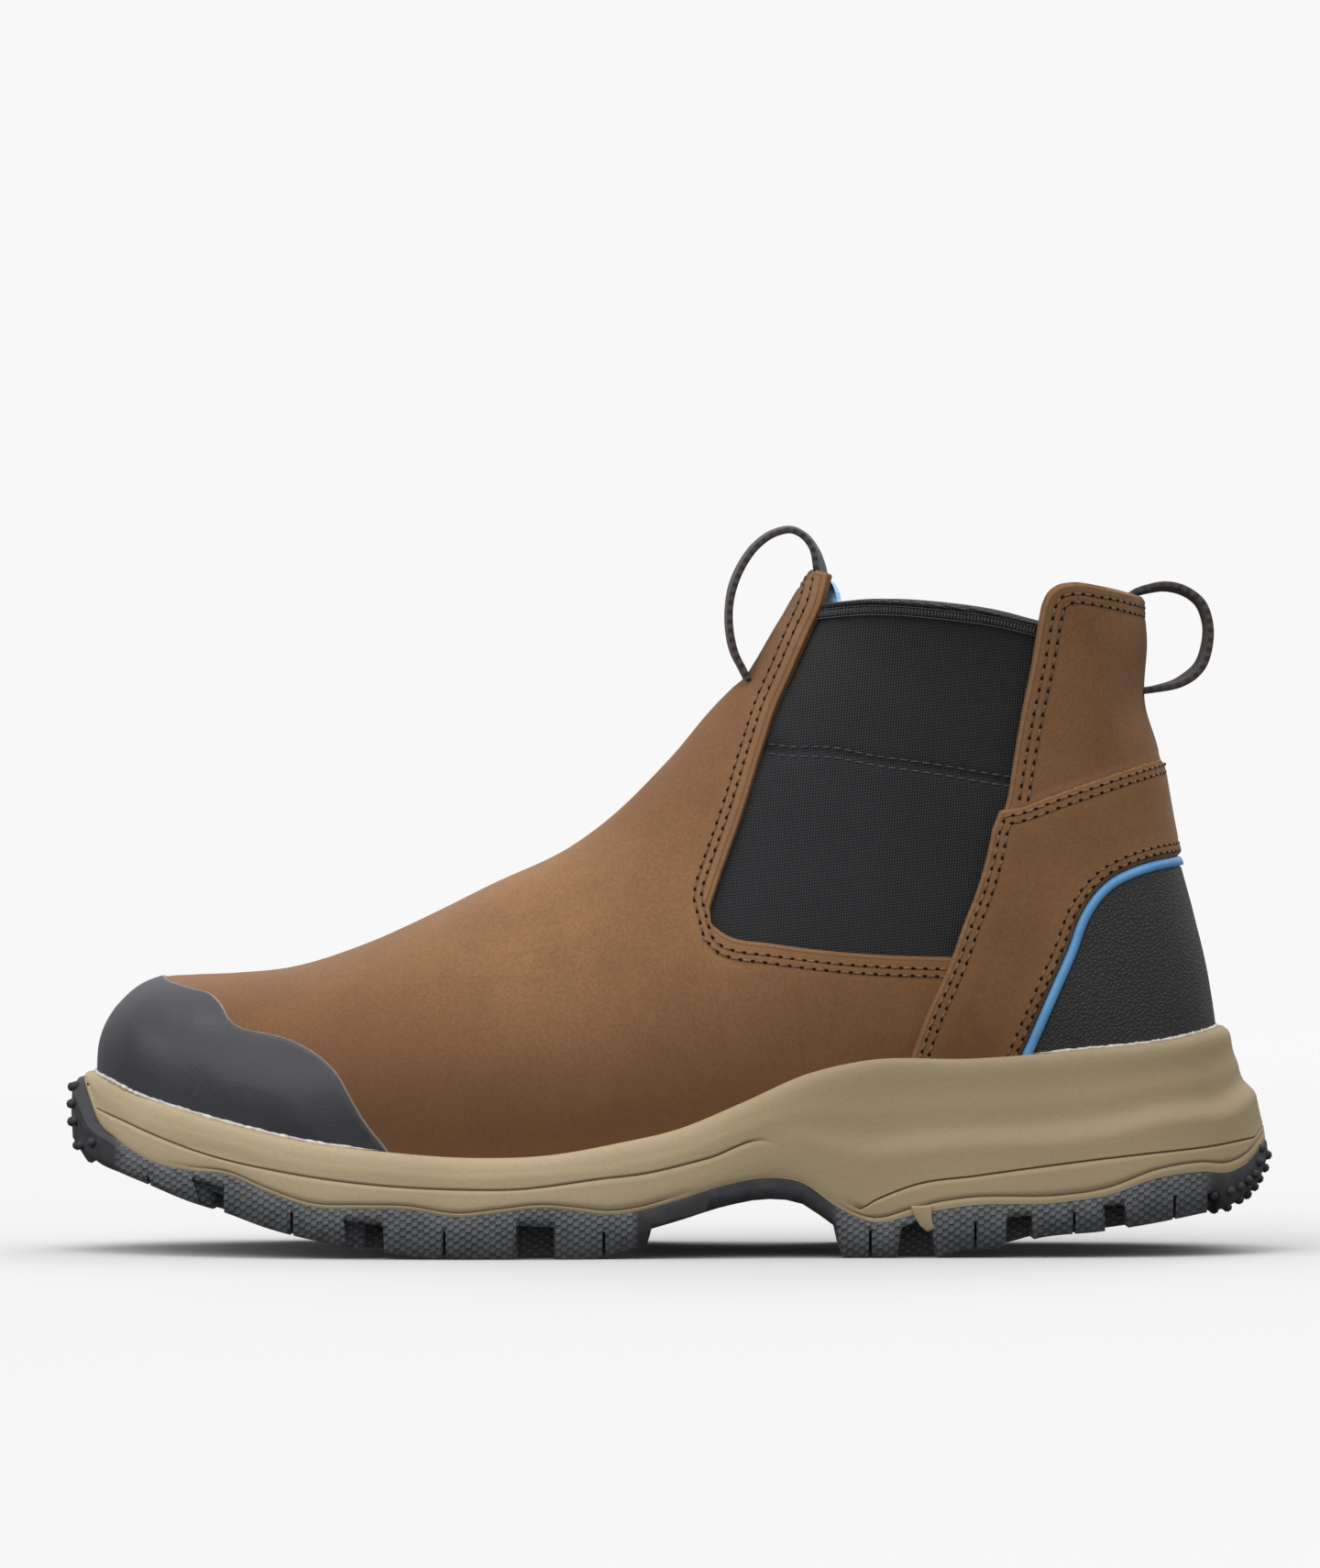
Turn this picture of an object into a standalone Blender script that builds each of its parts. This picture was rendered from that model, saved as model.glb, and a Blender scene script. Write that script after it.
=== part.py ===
"""Side gore work boot, left foot: a lasted leather upper in a foam cup midsole on a lugged rubber outsole.

Frame: +X from heel to toe, +Y to the outer side of the foot, +Z up, origin on the floor under the middle.
"""

import math

import bmesh
import bpy
import numpy as np
from mathutils import Vector

# Driving sizes, in metres.
LENGTH = 0.308  # outsole, heel to toe
SOLE_HEIGHT = 0.0577  # floor to the midsole's rim behind the heel
UPPER_HEIGHT = 0.1173  # that rim to the top of the front tab
SOLE_WIDTH = 0.114  # across the ball, at the foot of the midsole
LAST_WIDTH = 0.102  # upper across the ball
SHAFT_WIDTH = 0.078  # upper across the collar
LEATHER = 0.0020  # wall of the upper
GORE = 0.0014  # elastic panel
OVERLAY = 0.0014  # toe cap, counter and back panel
BAND = 0.0022  # quarter band, which covers the seams of its neighbours
PIPING = 0.0026
INSOLE = 0.0050
WEBBING = 0.0017  # pull loop thickness
WEBBING_WIDTH = 0.0160
BINDING_HEIGHT = 0.0042
BINDING = 0.0022
PLATE = 0.0046  # rubber left above the gaps between the lugs
WAIST = 0.0052  # rubber under the arch
SIPE_WIDTH = 0.0012
SIPE_DEPTH = 0.0050
CHANNEL_WIDTH = 0.0060  # lengthwise grooves in the tread
BUMPER = 0.0026  # how far the rubber stands out in front of the midsole at the toe
KEEL_DEPTH = 0.0060  # how far the last form runs on below the feather line
GORE_SPACING = 0.0240  # least distance between the two gores at the front
CLEARANCE = 0.0003

FORM_ROWS = 28
FORM_COLUMNS = 28
SOLE_STATIONS = 36  # along each side of the sole

# The last form from toe to collar. Each row is one section, seen from the side as a line from the crest
# (top or front) to the keel (bottom or back). along: share of LENGTH from the heel. up: share of
# UPPER_HEIGHT above the rim; None follows the feather line. mid, outer, inner: shares of LAST_WIDTH in
# foot rows. widest: share of the way from crest to keel. crown, base: superellipse powers.
SECTIONS = (
    # crest_along, crest_up, keel_along, keel_up, mid, outer, inner, widest, crown, base
    (0.973, -0.100, 0.973, -0.100, -0.060, 0.000, 0.000, 0.50, 2.5, 2.4),
    (0.970, -0.030, 0.970, -0.170, -0.060, 0.110, 0.100, 0.50, 2.5, 2.4),
    (0.958, 0.032, 0.958, -0.250, -0.062, 0.210, 0.188, 0.52, 2.5, 2.6),
    (0.942, 0.078, 0.942, None, -0.063, 0.282, 0.252, 0.55, 2.5, 2.9),
    (0.922, 0.101, 0.922, None, -0.064, 0.335, 0.300, 0.60, 2.5, 3.2),
    (0.897, 0.110, 0.897, None, -0.064, 0.380, 0.335, 0.64, 2.45, 3.6),
    (0.862, 0.113, 0.862, None, -0.060, 0.424, 0.372, 0.68, 2.35, 4.0),
    (0.813, 0.131, 0.813, None, -0.050, 0.470, 0.416, 0.71, 2.2, 4.0),
    (0.752, 0.181, 0.752, None, -0.040, 0.512, 0.452, 0.74, 2.05, 4.0),
    (0.691, 0.251, 0.691, None, -0.030, 0.530, 0.462, 0.77, 1.95, 4.0),
    (0.634, 0.327, 0.626, None, -0.025, 0.526, 0.444, 0.79, 1.85, 4.0),
    (0.584, 0.395, 0.554, None, -0.025, 0.504, 0.410, 0.80, 1.80, 3.9),
    (0.538, 0.484, 0.474, None, -0.020, 0.464, 0.376, 0.78, 1.75, 3.8),
    (0.500, 0.580, 0.378, None, -0.015, 0.426, 0.358, 0.72, 1.75, 3.5),
    (0.468, 0.680, 0.264, None, -0.010, 0.396, 0.356, 0.63, 1.80, 3.1),
    (0.447, 0.737, 0.142, None, -0.005, 0.374, 0.354, 0.58, 1.90, 2.8),
    (0.436, 0.763, 0.062, -0.215, 0.000, 0.362, 0.352, 0.55, 1.95, 2.5),
    (0.427, 0.800, 0.048, -0.076, 0.000, 0.354, 0.348, 0.52, 2.00, 2.45),
    (0.419, 0.836, 0.054, 0.094, 0.000, 0.350, 0.346, 0.51, 2.05, 2.4),
    (0.412, 0.868, 0.067, 0.244, 0.000, 0.348, 0.346, 0.50, 2.10, 2.35),
    (0.405, 0.898, 0.083, 0.384, 0.000, 0.350, 0.350, 0.50, 2.10, 2.3),
    (0.399, 0.926, 0.096, 0.524, 0.000, 0.354, 0.354, 0.50, 2.15, 2.25),
    (0.393, 0.952, 0.107, 0.664, 0.000, 0.362, 0.362, 0.50, 2.15, 2.2),
    (0.387, 0.976, 0.111, 0.774, 0.000, 0.370, 0.370, 0.50, 2.15, 2.2),
    (0.381, 1.002, 0.108, 0.884, 0.000, 0.377, 0.377, 0.50, 2.15, 2.2),
    (0.373, 1.038, 0.107, 0.964, 0.000, 0.382, 0.382, 0.50, 2.15, 2.2),
    (0.362, 1.088, 0.105, 1.044, 0.000, 0.386, 0.386, 0.50, 2.15, 2.2),
)
SHAFT_ROW = 16  # from here to the top the widths follow SHAFT_WIDTH
SHAFT_SHARE = 0.3824  # width share at the collar row

# Sole outline from heel to toe: along, outer and inner shares of SOLE_WIDTH, and flare, the share of
# SOLE_WIDTH by which the midsole's rim stands in from its foot.
OUTLINE = (
    # along, outer, inner, flare
    (0.003, -0.010, -0.010, 0.091),
    (0.018, 0.175, -0.195, 0.088),
    (0.060, 0.318, -0.330, 0.080),
    (0.120, 0.388, -0.388, 0.068),
    (0.200, 0.410, -0.400, 0.058),
    (0.300, 0.412, -0.398, 0.046),
    (0.400, 0.424, -0.394, 0.038),
    (0.500, 0.458, -0.420, 0.032),
    (0.600, 0.496, -0.468, 0.030),
    (0.690, 0.500, -0.498, 0.030),
    (0.780, 0.472, -0.497, 0.028),
    (0.860, 0.400, -0.454, 0.026),
    (0.920, 0.300, -0.374, 0.022),
    (0.965, 0.160, -0.250, 0.018),
    (0.988, -0.055, -0.055, 0.016),
)

# Heights on the sole, as shares of SOLE_HEIGHT along shares of LENGTH, toe to heel.
RIM = (
    (0.985, 0.800), (0.963, 0.764), (0.935, 0.698), (0.900, 0.636), (0.850, 0.565), (0.800, 0.508),
    (0.733, 0.466), (0.660, 0.440), (0.600, 0.450), (0.540, 0.504), (0.493, 0.561), (0.440, 0.676),
    (0.387, 0.800), (0.340, 0.858), (0.251, 0.867), (0.160, 0.904), (0.080, 0.948), (0.035, 1.000),
)  # fmt: skip
EDGE = (
    (0.988, 0.770), (0.982, 0.690), (0.974, 0.590), (0.958, 0.512), (0.923, 0.408), (0.893, 0.379),
    (0.862, 0.363), (0.827, 0.289), (0.790, 0.228), (0.755, 0.223), (0.714, 0.219), (0.671, 0.187),
    (0.640, 0.204), (0.601, 0.224), (0.575, 0.211), (0.548, 0.195), (0.525, 0.210), (0.493, 0.256),
    (0.453, 0.321), (0.418, 0.350), (0.392, 0.331), (0.361, 0.220), (0.331, 0.156), (0.301, 0.187),
    (0.256, 0.228), (0.178, 0.244), (0.139, 0.276), (0.100, 0.345), (0.061, 0.371), (0.038, 0.365),
    (0.022, 0.400), (0.003, 0.495),
)  # fmt: skip
FEATHER = (
    (0.980, 0.700), (0.942, 0.577), (0.904, 0.500), (0.866, 0.447), (0.828, 0.402), (0.752, 0.341),
    (0.675, 0.317), (0.599, 0.333), (0.523, 0.374), (0.447, 0.439), (0.371, 0.504), (0.294, 0.545),
    (0.218, 0.565), (0.142, 0.577), (0.040, 0.589),
)  # fmt: skip
TREAD = (
    (0.996, 0.640), (0.992, 0.460), (0.980, 0.406), (0.955, 0.350), (0.928, 0.298), (0.897, 0.238),
    (0.864, 0.189), (0.834, 0.134), (0.808, 0.098), (0.774, 0.062), (0.731, 0.028), (0.690, 0.000),
    (0.575, 0.000), (0.545, 0.030), (0.520, 0.062), (0.500, 0.070), (0.400, 0.020), (0.376, 0.000),
    (0.282, 0.000), (0.262, 0.024), (0.225, 0.047), (0.196, 0.086), (0.143, 0.114), (0.114, 0.135),
    (0.058, 0.184), (0.040, 0.200), (0.026, 0.228), (0.010, 0.290), (0.001, 0.400),
)  # fmt: skip

# How far the midsole's side stands in, as shares of the flare, at shares of the way from foot to rim.
SIDE_LEVELS = (
    # up, forefoot, heel
    (0.00, 0.10, 0.00),
    (0.12, 0.00, 0.04),
    (0.24, 0.02, 0.12),
    (0.43, 0.22, 0.28),
    (0.55, 0.16, 0.56),
    (0.68, 0.26, 0.70),
    (0.86, 0.50, 0.82),
    (0.96, 0.80, 0.90),
    (1.00, 1.15, 1.04),
)
HEEL_FLUTES = (0.30, 0.46)  # shares of LENGTH between which the flutes run out

# Gaps that part the lugs at the sides: toe face and heel face at the ground, how far the faces lean
# together towards the top, all shares of LENGTH, and how deep the gap is, as a share of the rubber there.
LUG_GAPS = (
    # toe_face, heel_face, lean, depth
    (0.880, 0.863, 0.003, 0.48),
    (0.753, 0.731, 0.003, 0.54),
    (0.628, 0.590, 0.004, 0.48),
    (0.308, 0.284, 0.003, 0.66),
    (0.226, 0.197, 0.004, 0.60),
    (0.144, 0.114, 0.004, 0.52),
    (0.058, 0.046, 0.002, 0.45),
)
ARCH = (0.522, 0.351)  # toe face and heel face of the lugs on each side of the waist
ARCH_LEAN = 0.008
SIPES = (0.928, 0.808, 0.683, 0.553, 0.335, 0.249, 0.168, 0.085)
GAP_REACH = 0.30  # side gaps run in this share of SOLE_WIDTH
CHANNEL_PLACE = 0.13  # lengthwise grooves lie this share of SOLE_WIDTH off the middle
CHANNEL_RUNS = ((0.900, 0.545), (0.335, 0.060))
CENTRE_GAPS = (0.835, 0.700, 0.285, 0.190)
CENTRE_GAP_LENGTH = 0.016
BUMPER_RUN = (0.930, 0.985)  # shares of LENGTH over which the bumper grows

# Outlines of the upper's pieces as seen from the side: along and up as in SECTIONS.
TAB_TOP = ((0.395, 1.006), (0.383, 0.998), (0.369, 0.986))
GORE_FRONT = ((0.369, 0.986), (0.376, 0.915), (0.387, 0.850), (0.400, 0.770), (0.413, 0.692),
              (0.422, 0.620), (0.440, 0.468), (0.461, 0.310), (0.467, 0.262))  # fmt: skip
GORE_FOOT = ((0.465, 0.226), (0.453, 0.203), (0.414, 0.183), (0.362, 0.166), (0.309, 0.157), (0.269, 0.154))
GORE_REAR = ((0.256, 0.228), (0.241, 0.352), (0.230, 0.462), (0.221, 0.500), (0.218, 0.552),
             (0.209, 0.690), (0.202, 0.778), (0.196, 0.874))  # fmt: skip
COLLAR_REAR = ((0.193, 0.914), (0.188, 0.940), (0.180, 0.956), (0.169, 0.962), (0.142, 0.954), (0.104, 0.934),
               (0.070, 0.928))  # fmt: skip
GORE_TOP = ((0.392, 0.926), (0.336, 0.934), (0.283, 0.924), (0.230, 0.906), (0.190, 0.884))
BAND_TOP = ((0.228, 0.470), (0.213, 0.478), (0.182, 0.508), (0.154, 0.534), (0.125, 0.560), (0.091, 0.586),
            (0.050, 0.610))  # fmt: skip
BAND_FRONT = ((0.234, 0.430), (0.238, 0.378), (0.246, 0.304), (0.258, 0.222), (0.268, 0.148), (0.277, 0.094),
              (0.286, 0.044), (0.302, -0.066), (0.318, -0.180))  # fmt: skip
PIPE_TOP = ((0.050, 0.376), (0.074, 0.368), (0.100, 0.358), (0.123, 0.340), (0.140, 0.316), (0.151, 0.288),
            (0.161, 0.248), (0.173, 0.166), (0.186, 0.088), (0.199, 0.010), (0.211, -0.060), (0.228, -0.160))  # fmt: skip
PIPE_WIDTH = 0.0023
CAP_EDGE = ((0.925, 0.190), (0.915, 0.116), (0.898, 0.096), (0.882, 0.076), (0.866, 0.044), (0.858, 0.012),
            (0.848, -0.012), (0.820, -0.026), (0.794, -0.054), (0.774, -0.086), (0.762, -0.135), (0.752, -0.180),
            (0.733, -0.258), (0.715, -0.330))  # fmt: skip

# Pull loops as seen from the side, each a webbing path from its lower seam round to its upper seam.
FRONT_LOOP = ((0.4420, 0.764), (0.4470, 0.800), (0.4520, 0.840), (0.4545, 0.890), (0.4515, 0.950), (0.4430, 1.010),
              (0.4300, 1.058), (0.4130, 1.086), (0.3980, 1.092), (0.3830, 1.076), (0.3720, 1.044), (0.3665, 1.005),
              (0.3660, 0.960))  # fmt: skip
BACK_LOOP = ((0.0985, 0.730), (0.0880, 0.745), (0.0710, 0.760), (0.0570, 0.790), (0.0505, 0.835), (0.0510, 0.890),
             (0.0580, 0.935), (0.0720, 0.962), (0.0860, 0.970), (0.1000, 0.966), (0.1120, 0.958), (0.1200, 0.942),
             (0.1240, 0.918), (0.1240, 0.880))  # fmt: skip

COLOURS = {
    # name: (red, green, blue, roughness)
    "rubber": (0.018, 0.019, 0.021, 0.65),
    "foam": (0.285, 0.215, 0.125, 0.75),
    "insole_foam": (0.03, 0.03, 0.035, 0.9),
    "leather": (0.155, 0.075, 0.028, 0.8),
    "elastic": (0.012, 0.012, 0.013, 0.85),
    "cap_rubber": (0.045, 0.048, 0.055, 0.45),
    "black_leather": (0.018, 0.017, 0.018, 0.55),
    "blue_trim": (0.055, 0.25, 0.62, 0.4),
    "webbing": (0.045, 0.040, 0.038, 0.85),
}


def clear_scene():
    for obj in list(bpy.data.objects):
        bpy.data.objects.remove(obj)


def smooth(xs, ys, x):
    """A smooth curve through the points, whose slope at each is a mean of its two neighbours'."""
    xs, ys = np.asarray(xs, float), np.asarray(ys, float)
    if xs[0] > xs[-1]:
        xs, ys = xs[::-1], ys[::-1]
    slopes = np.gradient(ys, xs)
    x = np.clip(x, xs[0], xs[-1])
    i = np.clip(np.searchsorted(xs, x) - 1, 0, len(xs) - 2)
    step = xs[i + 1] - xs[i]
    t = (x - xs[i]) / step
    return (
        (1 + 2 * t) * (1 - t) ** 2 * ys[i]
        + t * (1 - t) ** 2 * step * slopes[i]
        + t * t * (3 - 2 * t) * ys[i + 1]
        + t * t * (t - 1) * step * slopes[i + 1]
    )


def line(table, share):
    """Height of one of the sole's lines at a share of LENGTH."""
    return level_on(table, share) * SOLE_HEIGHT


def eased(share, start, end):
    """0 before start, 1 after end, and smooth between."""
    t = min(1.0, max(0.0, (share - start) / (end - start)))
    return t * t * (3 - 2 * t)


def level_on(table, share):
    xs, levels = zip(*sorted(table))
    return float(np.interp(share, xs, levels))


def along(share):
    return (share - 0.5) * LENGTH


def share_of(x):
    return x / LENGTH + 0.5


def side_point(row):
    """A point of a side outline, from its along and up shares."""
    return Vector((along(row[0]), 0.0, SOLE_HEIGHT + row[1] * UPPER_HEIGHT))


def section_table():
    """SECTIONS in metres, with a running parameter in front."""
    rows = []
    for number, row in enumerate(SECTIONS):
        crest_along, crest_up, keel_along, keel_up, mid, outer, inner, widest, crown, base = row
        crest = side_point((crest_along, crest_up))
        keel_z = line(FEATHER, keel_along) - KEEL_DEPTH
        if keel_up is not None:
            keel_z = SOLE_HEIGHT + keel_up * UPPER_HEIGHT
        blend = min(1.0, max(0.0, (number - SHAFT_ROW) / (len(SECTIONS) - 1 - SHAFT_ROW)))
        width = LAST_WIDTH * (1 - blend) + SHAFT_WIDTH * 0.5 / SHAFT_SHARE * blend
        rows.append([crest.x, crest.z, along(keel_along), keel_z, mid * width, outer * width, inner * width,
                     widest, crown, base])  # fmt: skip
    rows = np.array(rows)
    steps = np.hypot(*np.diff(rows[:, 0:2], axis=0).T) + np.hypot(*np.diff(rows[:, 2:4], axis=0).T)
    run = np.concatenate([[0], np.cumsum(steps**0.75)])
    return run / run[-1], rows


RUN, ROWS = section_table()


def form_point(run, angle):
    """The last form's surface: run 0 at the toe's front to 1 above the collar, angle 0 at the crest, then
    round by the outer side."""
    crest_x, crest_z, keel_x, keel_z, mid, outer, inner, widest, crown, base = (
        float(smooth(RUN, column, run)) for column in ROWS.T
    )
    cosine, sine = math.cos(angle), math.sin(angle)
    power = crown if cosine > 0 else base
    reach = abs(cosine) ** (2 / power)
    side = abs(sine) ** (2 / power)
    share = widest * (1 - reach) if cosine > 0 else widest + (1 - widest) * reach
    y = mid + (outer if sine > 0 else -inner) * side
    return Vector((crest_x + (keel_x - crest_x) * share, y, crest_z + (keel_z - crest_z) * share))


def new_object(name, bm):
    mesh = bpy.data.meshes.new(name)
    bm.to_mesh(mesh)
    bm.free()
    obj = bpy.data.objects.new(name, mesh)
    bpy.context.scene.collection.objects.link(obj)
    return obj


def wrapped_grid(name, columns, rows, place):
    """A closed skin: a grid whose columns meet round the back and whose end rows close on themselves."""
    bm = bmesh.new()
    bmesh.ops.create_grid(bm, x_segments=columns, y_segments=rows, size=1.0)
    for vertex in bm.verts:
        column = round((vertex.co.x + 1) / 2 * columns) % columns
        row = round((vertex.co.y + 1) / 2 * rows)
        vertex.co = place(column, row)
    bmesh.ops.remove_doubles(bm, verts=bm.verts, dist=1e-6)
    bmesh.ops.recalc_face_normals(bm, faces=bm.faces)
    if bm.calc_volume(signed=True) < 0:
        bmesh.ops.reverse_faces(bm, faces=bm.faces)
    return new_object(name, bm)


def last_form(grow):
    """The closed last form, grown along its normals."""
    top = Vector(np.mean([form_point(1.0, a) for a in np.linspace(0, 2 * math.pi, 9)[:-1]], axis=0))

    def place(column, row):
        if row > FORM_ROWS:
            return top
        return form_point((row / FORM_ROWS) ** 1.15, 2 * math.pi * column / FORM_COLUMNS)

    form = wrapped_grid("form", FORM_COLUMNS, FORM_ROWS + 1, place)
    bm = bmesh.new()
    bm.from_mesh(form.data)
    bm.normal_update()
    for vertex in bm.verts:
        vertex.co += vertex.normal * grow
    bm.to_mesh(form.data)
    bm.free()
    return form


def side_prism(points, low=-LENGTH, high=LENGTH):
    """A solid with this outline as seen from the side, from low to high across the boot."""
    bm = bmesh.new()
    face = bm.faces.new([bm.verts.new((p.x, low, p.z)) for p in points])
    made = bmesh.ops.extrude_face_region(bm, geom=[face])
    moved = [item for item in made["geom"] if isinstance(item, bmesh.types.BMVert)]
    bmesh.ops.translate(bm, verts=moved, vec=(0, high - low, 0))
    bmesh.ops.recalc_face_normals(bm, faces=bm.faces)
    return new_object("prism", bm)


def carve(obj, other, operation):
    """Applies one Boolean and removes its other operand."""
    modifier = obj.modifiers.new(operation, "BOOLEAN")
    modifier.operation = operation
    modifier.object = other
    bpy.context.view_layer.update()
    evaluated = obj.evaluated_get(bpy.context.evaluated_depsgraph_get())
    mesh = bpy.data.meshes.new_from_object(evaluated)
    obj.modifiers.clear()
    obj.data = mesh
    bpy.data.objects.remove(other)
    return obj


def shell(outer_grow, inner_grow):
    """The last form's wall between two growths."""
    return carve(last_form(outer_grow), last_form(inner_grow), "DIFFERENCE")


def shifted(points, distance):
    """An open side outline moved to its left by a distance."""
    moved = []
    for i, point in enumerate(points):
        run = points[min(i + 1, len(points) - 1)] - points[max(i - 1, 0)]
        normal = Vector((-run.z, 0, run.x)).normalized()
        moved.append(point + normal * distance)
    return moved


def outline(*tables):
    return [side_point(row) for table in tables for row in table]


def frame_corner(share, up):
    return side_point((share, up))


def below_feather(lift):
    """A prism of all that lies under the feather line, raised by lift."""
    top = [Vector((along(s), 0, h * SOLE_HEIGHT + lift)) for s, h in FEATHER]
    start = Vector((along(1.1), 0, top[0].z))
    end = Vector((along(-0.1), 0, top[-1].z))
    floor = -SOLE_HEIGHT
    return side_prism([start, *top, end, Vector((end.x, 0, floor)), Vector((start.x, 0, floor))])


def outline_half(column):
    """Outline share along, y and flare at one station, as smooth functions of the way round the ends."""
    table = np.array(OUTLINE)
    turn = np.arccos(np.clip(1 - 2 * (table[:, 0] - table[0, 0]) / (table[-1, 0] - table[0, 0]), -1, 1))
    angle = math.pi * column / SOLE_STATIONS
    share = table[0, 0] + (1 - math.cos(angle)) / 2 * (table[-1, 0] - table[0, 0])
    outer = float(smooth(turn, table[:, 1], angle)) * SOLE_WIDTH
    inner = float(smooth(turn, table[:, 2], angle)) * SOLE_WIDTH
    flare = float(smooth(turn, table[:, 3], angle)) * SOLE_WIDTH
    return along(share), outer, inner, flare


def sole_stations():
    """Base outline, round by the outer side: (point, outward normal, flare)."""
    halves = [outline_half(c) for c in range(SOLE_STATIONS + 1)]
    ring = [(x, outer, flare) for x, outer, _, flare in halves]
    ring += [(x, inner, flare) for x, _, inner, flare in halves[-2:0:-1]]
    points = [Vector((x, y, 0)) for x, y, _ in ring]
    made = []
    for i, point in enumerate(points):
        run = points[(i + 1) % len(points)] - points[i - 1]
        made.append((point, Vector((-run.y, run.x, 0)).normalized(), ring[i][2]))
    return made


STATIONS = sole_stations()


def ring_point(column, inset):
    point, outward, _ = STATIONS[column]
    return point - outward * inset


def mate(column):
    """The station across the sole from this one."""
    return (-column) % len(STATIONS)


def middle(column, inset):
    return (ring_point(column, inset) + ring_point(mate(column), inset)) / 2


def with_height(point, height):
    return Vector((point.x, point.y, height))


def side_inset(column, level):
    """How far the midsole's side stands in at one station and level."""
    up, forefoot, heel = SIDE_LEVELS[level]
    ahead = eased(share_of(STATIONS[column][0].x), *HEEL_FLUTES)
    return STATIONS[column][2] * (forefoot * ahead + heel * (1 - ahead))


def midsole_body(drop=0.0):
    """The cup before its hollow is cut, with its foot dropped when it serves as a cutter."""
    top_level = len(SIDE_LEVELS) - 1

    def place(column, row):
        foot = ring_point(column, side_inset(column, 0))
        foot_z = line(EDGE, share_of(foot.x))
        rim = ring_point(column, side_inset(column, top_level))
        rim_z = line(RIM, share_of(rim.x))
        if row == 0:
            centre = middle(column, side_inset(column, 0))
            return with_height(centre, line(EDGE, share_of(centre.x)) - drop)
        if row == top_level + 2:
            centre = middle(column, side_inset(column, top_level))
            return with_height(centre, line(RIM, share_of(centre.x)))
        up = SIDE_LEVELS[row - 1][0]
        point = ring_point(column, side_inset(column, row - 1))
        return with_height(point, foot_z + (rim_z - foot_z) * up - (drop if row == 1 else 0))

    return wrapped_grid("midsole", len(STATIONS), top_level + 2, place)


def outsole_top(share):
    """Just under the midsole, with the clearance measured square to the slope."""
    step = 0.004
    slope = (line(EDGE, share + step) - line(EDGE, share - step)) / (2 * step * LENGTH)
    return line(EDGE, share) - CLEARANCE * math.hypot(1, slope)


def outsole_body():
    """The rubber before its gaps are cut. Its sides stand in a little towards the ground."""
    taper = 0.02 * SOLE_WIDTH
    levels = ((0.0, 0.0, 0.3), (0.12, -0.004, 1.0), (0.62, -0.006, 1.0), (1.0, 0.02, 0.4))

    def place(column, row):
        share = share_of(STATIONS[column][0].x)
        top = outsole_top(share)
        ground = min(line(TREAD, share), top - PLATE)
        if row in (0, len(levels) + 1):
            centre = middle(column, 0.0 if row == 0 else taper)
            share = share_of(centre.x)
            top = outsole_top(share)
            return with_height(centre, top if row == 0 else min(line(TREAD, share), top - PLATE))
        down, inset, bump = levels[row - 1]
        bump *= BUMPER * eased(share, *BUMPER_RUN)
        return with_height(ring_point(column, inset * SOLE_WIDTH - bump), top + (ground - top) * down)

    return wrapped_grid("outsole", len(STATIONS), len(levels) + 1, place)


def gap_prism(toe_face, heel_face, lean, depth, low, high):
    """A cutter between two lugs, open to the ground, from low to high across the sole."""
    centre = (toe_face + heel_face) / 2
    top = line(TREAD, centre) + depth * (line(EDGE, centre) - line(TREAD, centre))
    floor = -0.2 * SOLE_HEIGHT
    corners = ((toe_face, floor), (toe_face - lean, top), (heel_face + lean, top), (heel_face, floor))
    return side_prism([Vector((along(s), 0, z)) for s, z in corners], low, high)


def arch_prism():
    """The hollow under the waist, which leaves WAIST of rubber."""
    toe_face, heel_face = ARCH
    shares = np.linspace(toe_face - ARCH_LEAN, heel_face + ARCH_LEAN, 10)
    roof = [Vector((along(s), 0, line(EDGE, s) - WAIST)) for s in shares]
    floor = -0.2 * SOLE_HEIGHT
    ends = Vector((along(heel_face), 0, floor)), Vector((along(toe_face), 0, floor))
    return side_prism([*roof, *ends])


def channel_cutter(start, end, side):
    """A lengthwise groove that weaves a little between the side lugs and the centre ones."""
    steps = 8
    weave = 0.35 * CHANNEL_WIDTH
    roof, floor = [], -0.2 * SOLE_HEIGHT
    bm = bmesh.new()
    for i in range(steps + 1):
        share = start + (end - start) * i / steps
        y = side * CHANNEL_PLACE * SOLE_WIDTH + weave * (1 if i % 2 else -1)
        top = line(EDGE, share) - PLATE
        roof.append([bm.verts.new((along(share), y + dy, z)) for dy, z in
                     ((-CHANNEL_WIDTH / 2, floor), (CHANNEL_WIDTH / 2, floor),
                      (CHANNEL_WIDTH / 2.6, top), (-CHANNEL_WIDTH / 2.6, top))])  # fmt: skip
    for first, second in zip(roof, roof[1:]):
        for k in range(4):
            bm.faces.new((first[k], first[(k + 1) % 4], second[(k + 1) % 4], second[k]))
    bm.faces.new(roof[0])
    bm.faces.new(roof[-1])
    bmesh.ops.recalc_face_normals(bm, faces=bm.faces)
    return new_object("channel", bm)


def sipe_cutter(share, side):
    """A thin slot in a lug's outer face."""
    outer, inner = (float(smooth([r[0] for r in OUTLINE], [r[c] for r in OUTLINE], share)) for c in (1, 2))
    y = (outer if side > 0 else inner) * SOLE_WIDTH
    top = line(TREAD, share) + 0.62 * (line(EDGE, share) - line(TREAD, share))
    half = SIPE_WIDTH / 2
    floor = -0.2 * SOLE_HEIGHT
    x = along(share)
    corners = [Vector((x - half, 0, floor)), Vector((x + half, 0, floor)), Vector((x + half, 0, top)),
               Vector((x - half, 0, top))]  # fmt: skip
    low, high = sorted((y - side * SIPE_DEPTH, y + side * SIPE_DEPTH * 2))
    return side_prism(corners, low, high)


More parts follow.
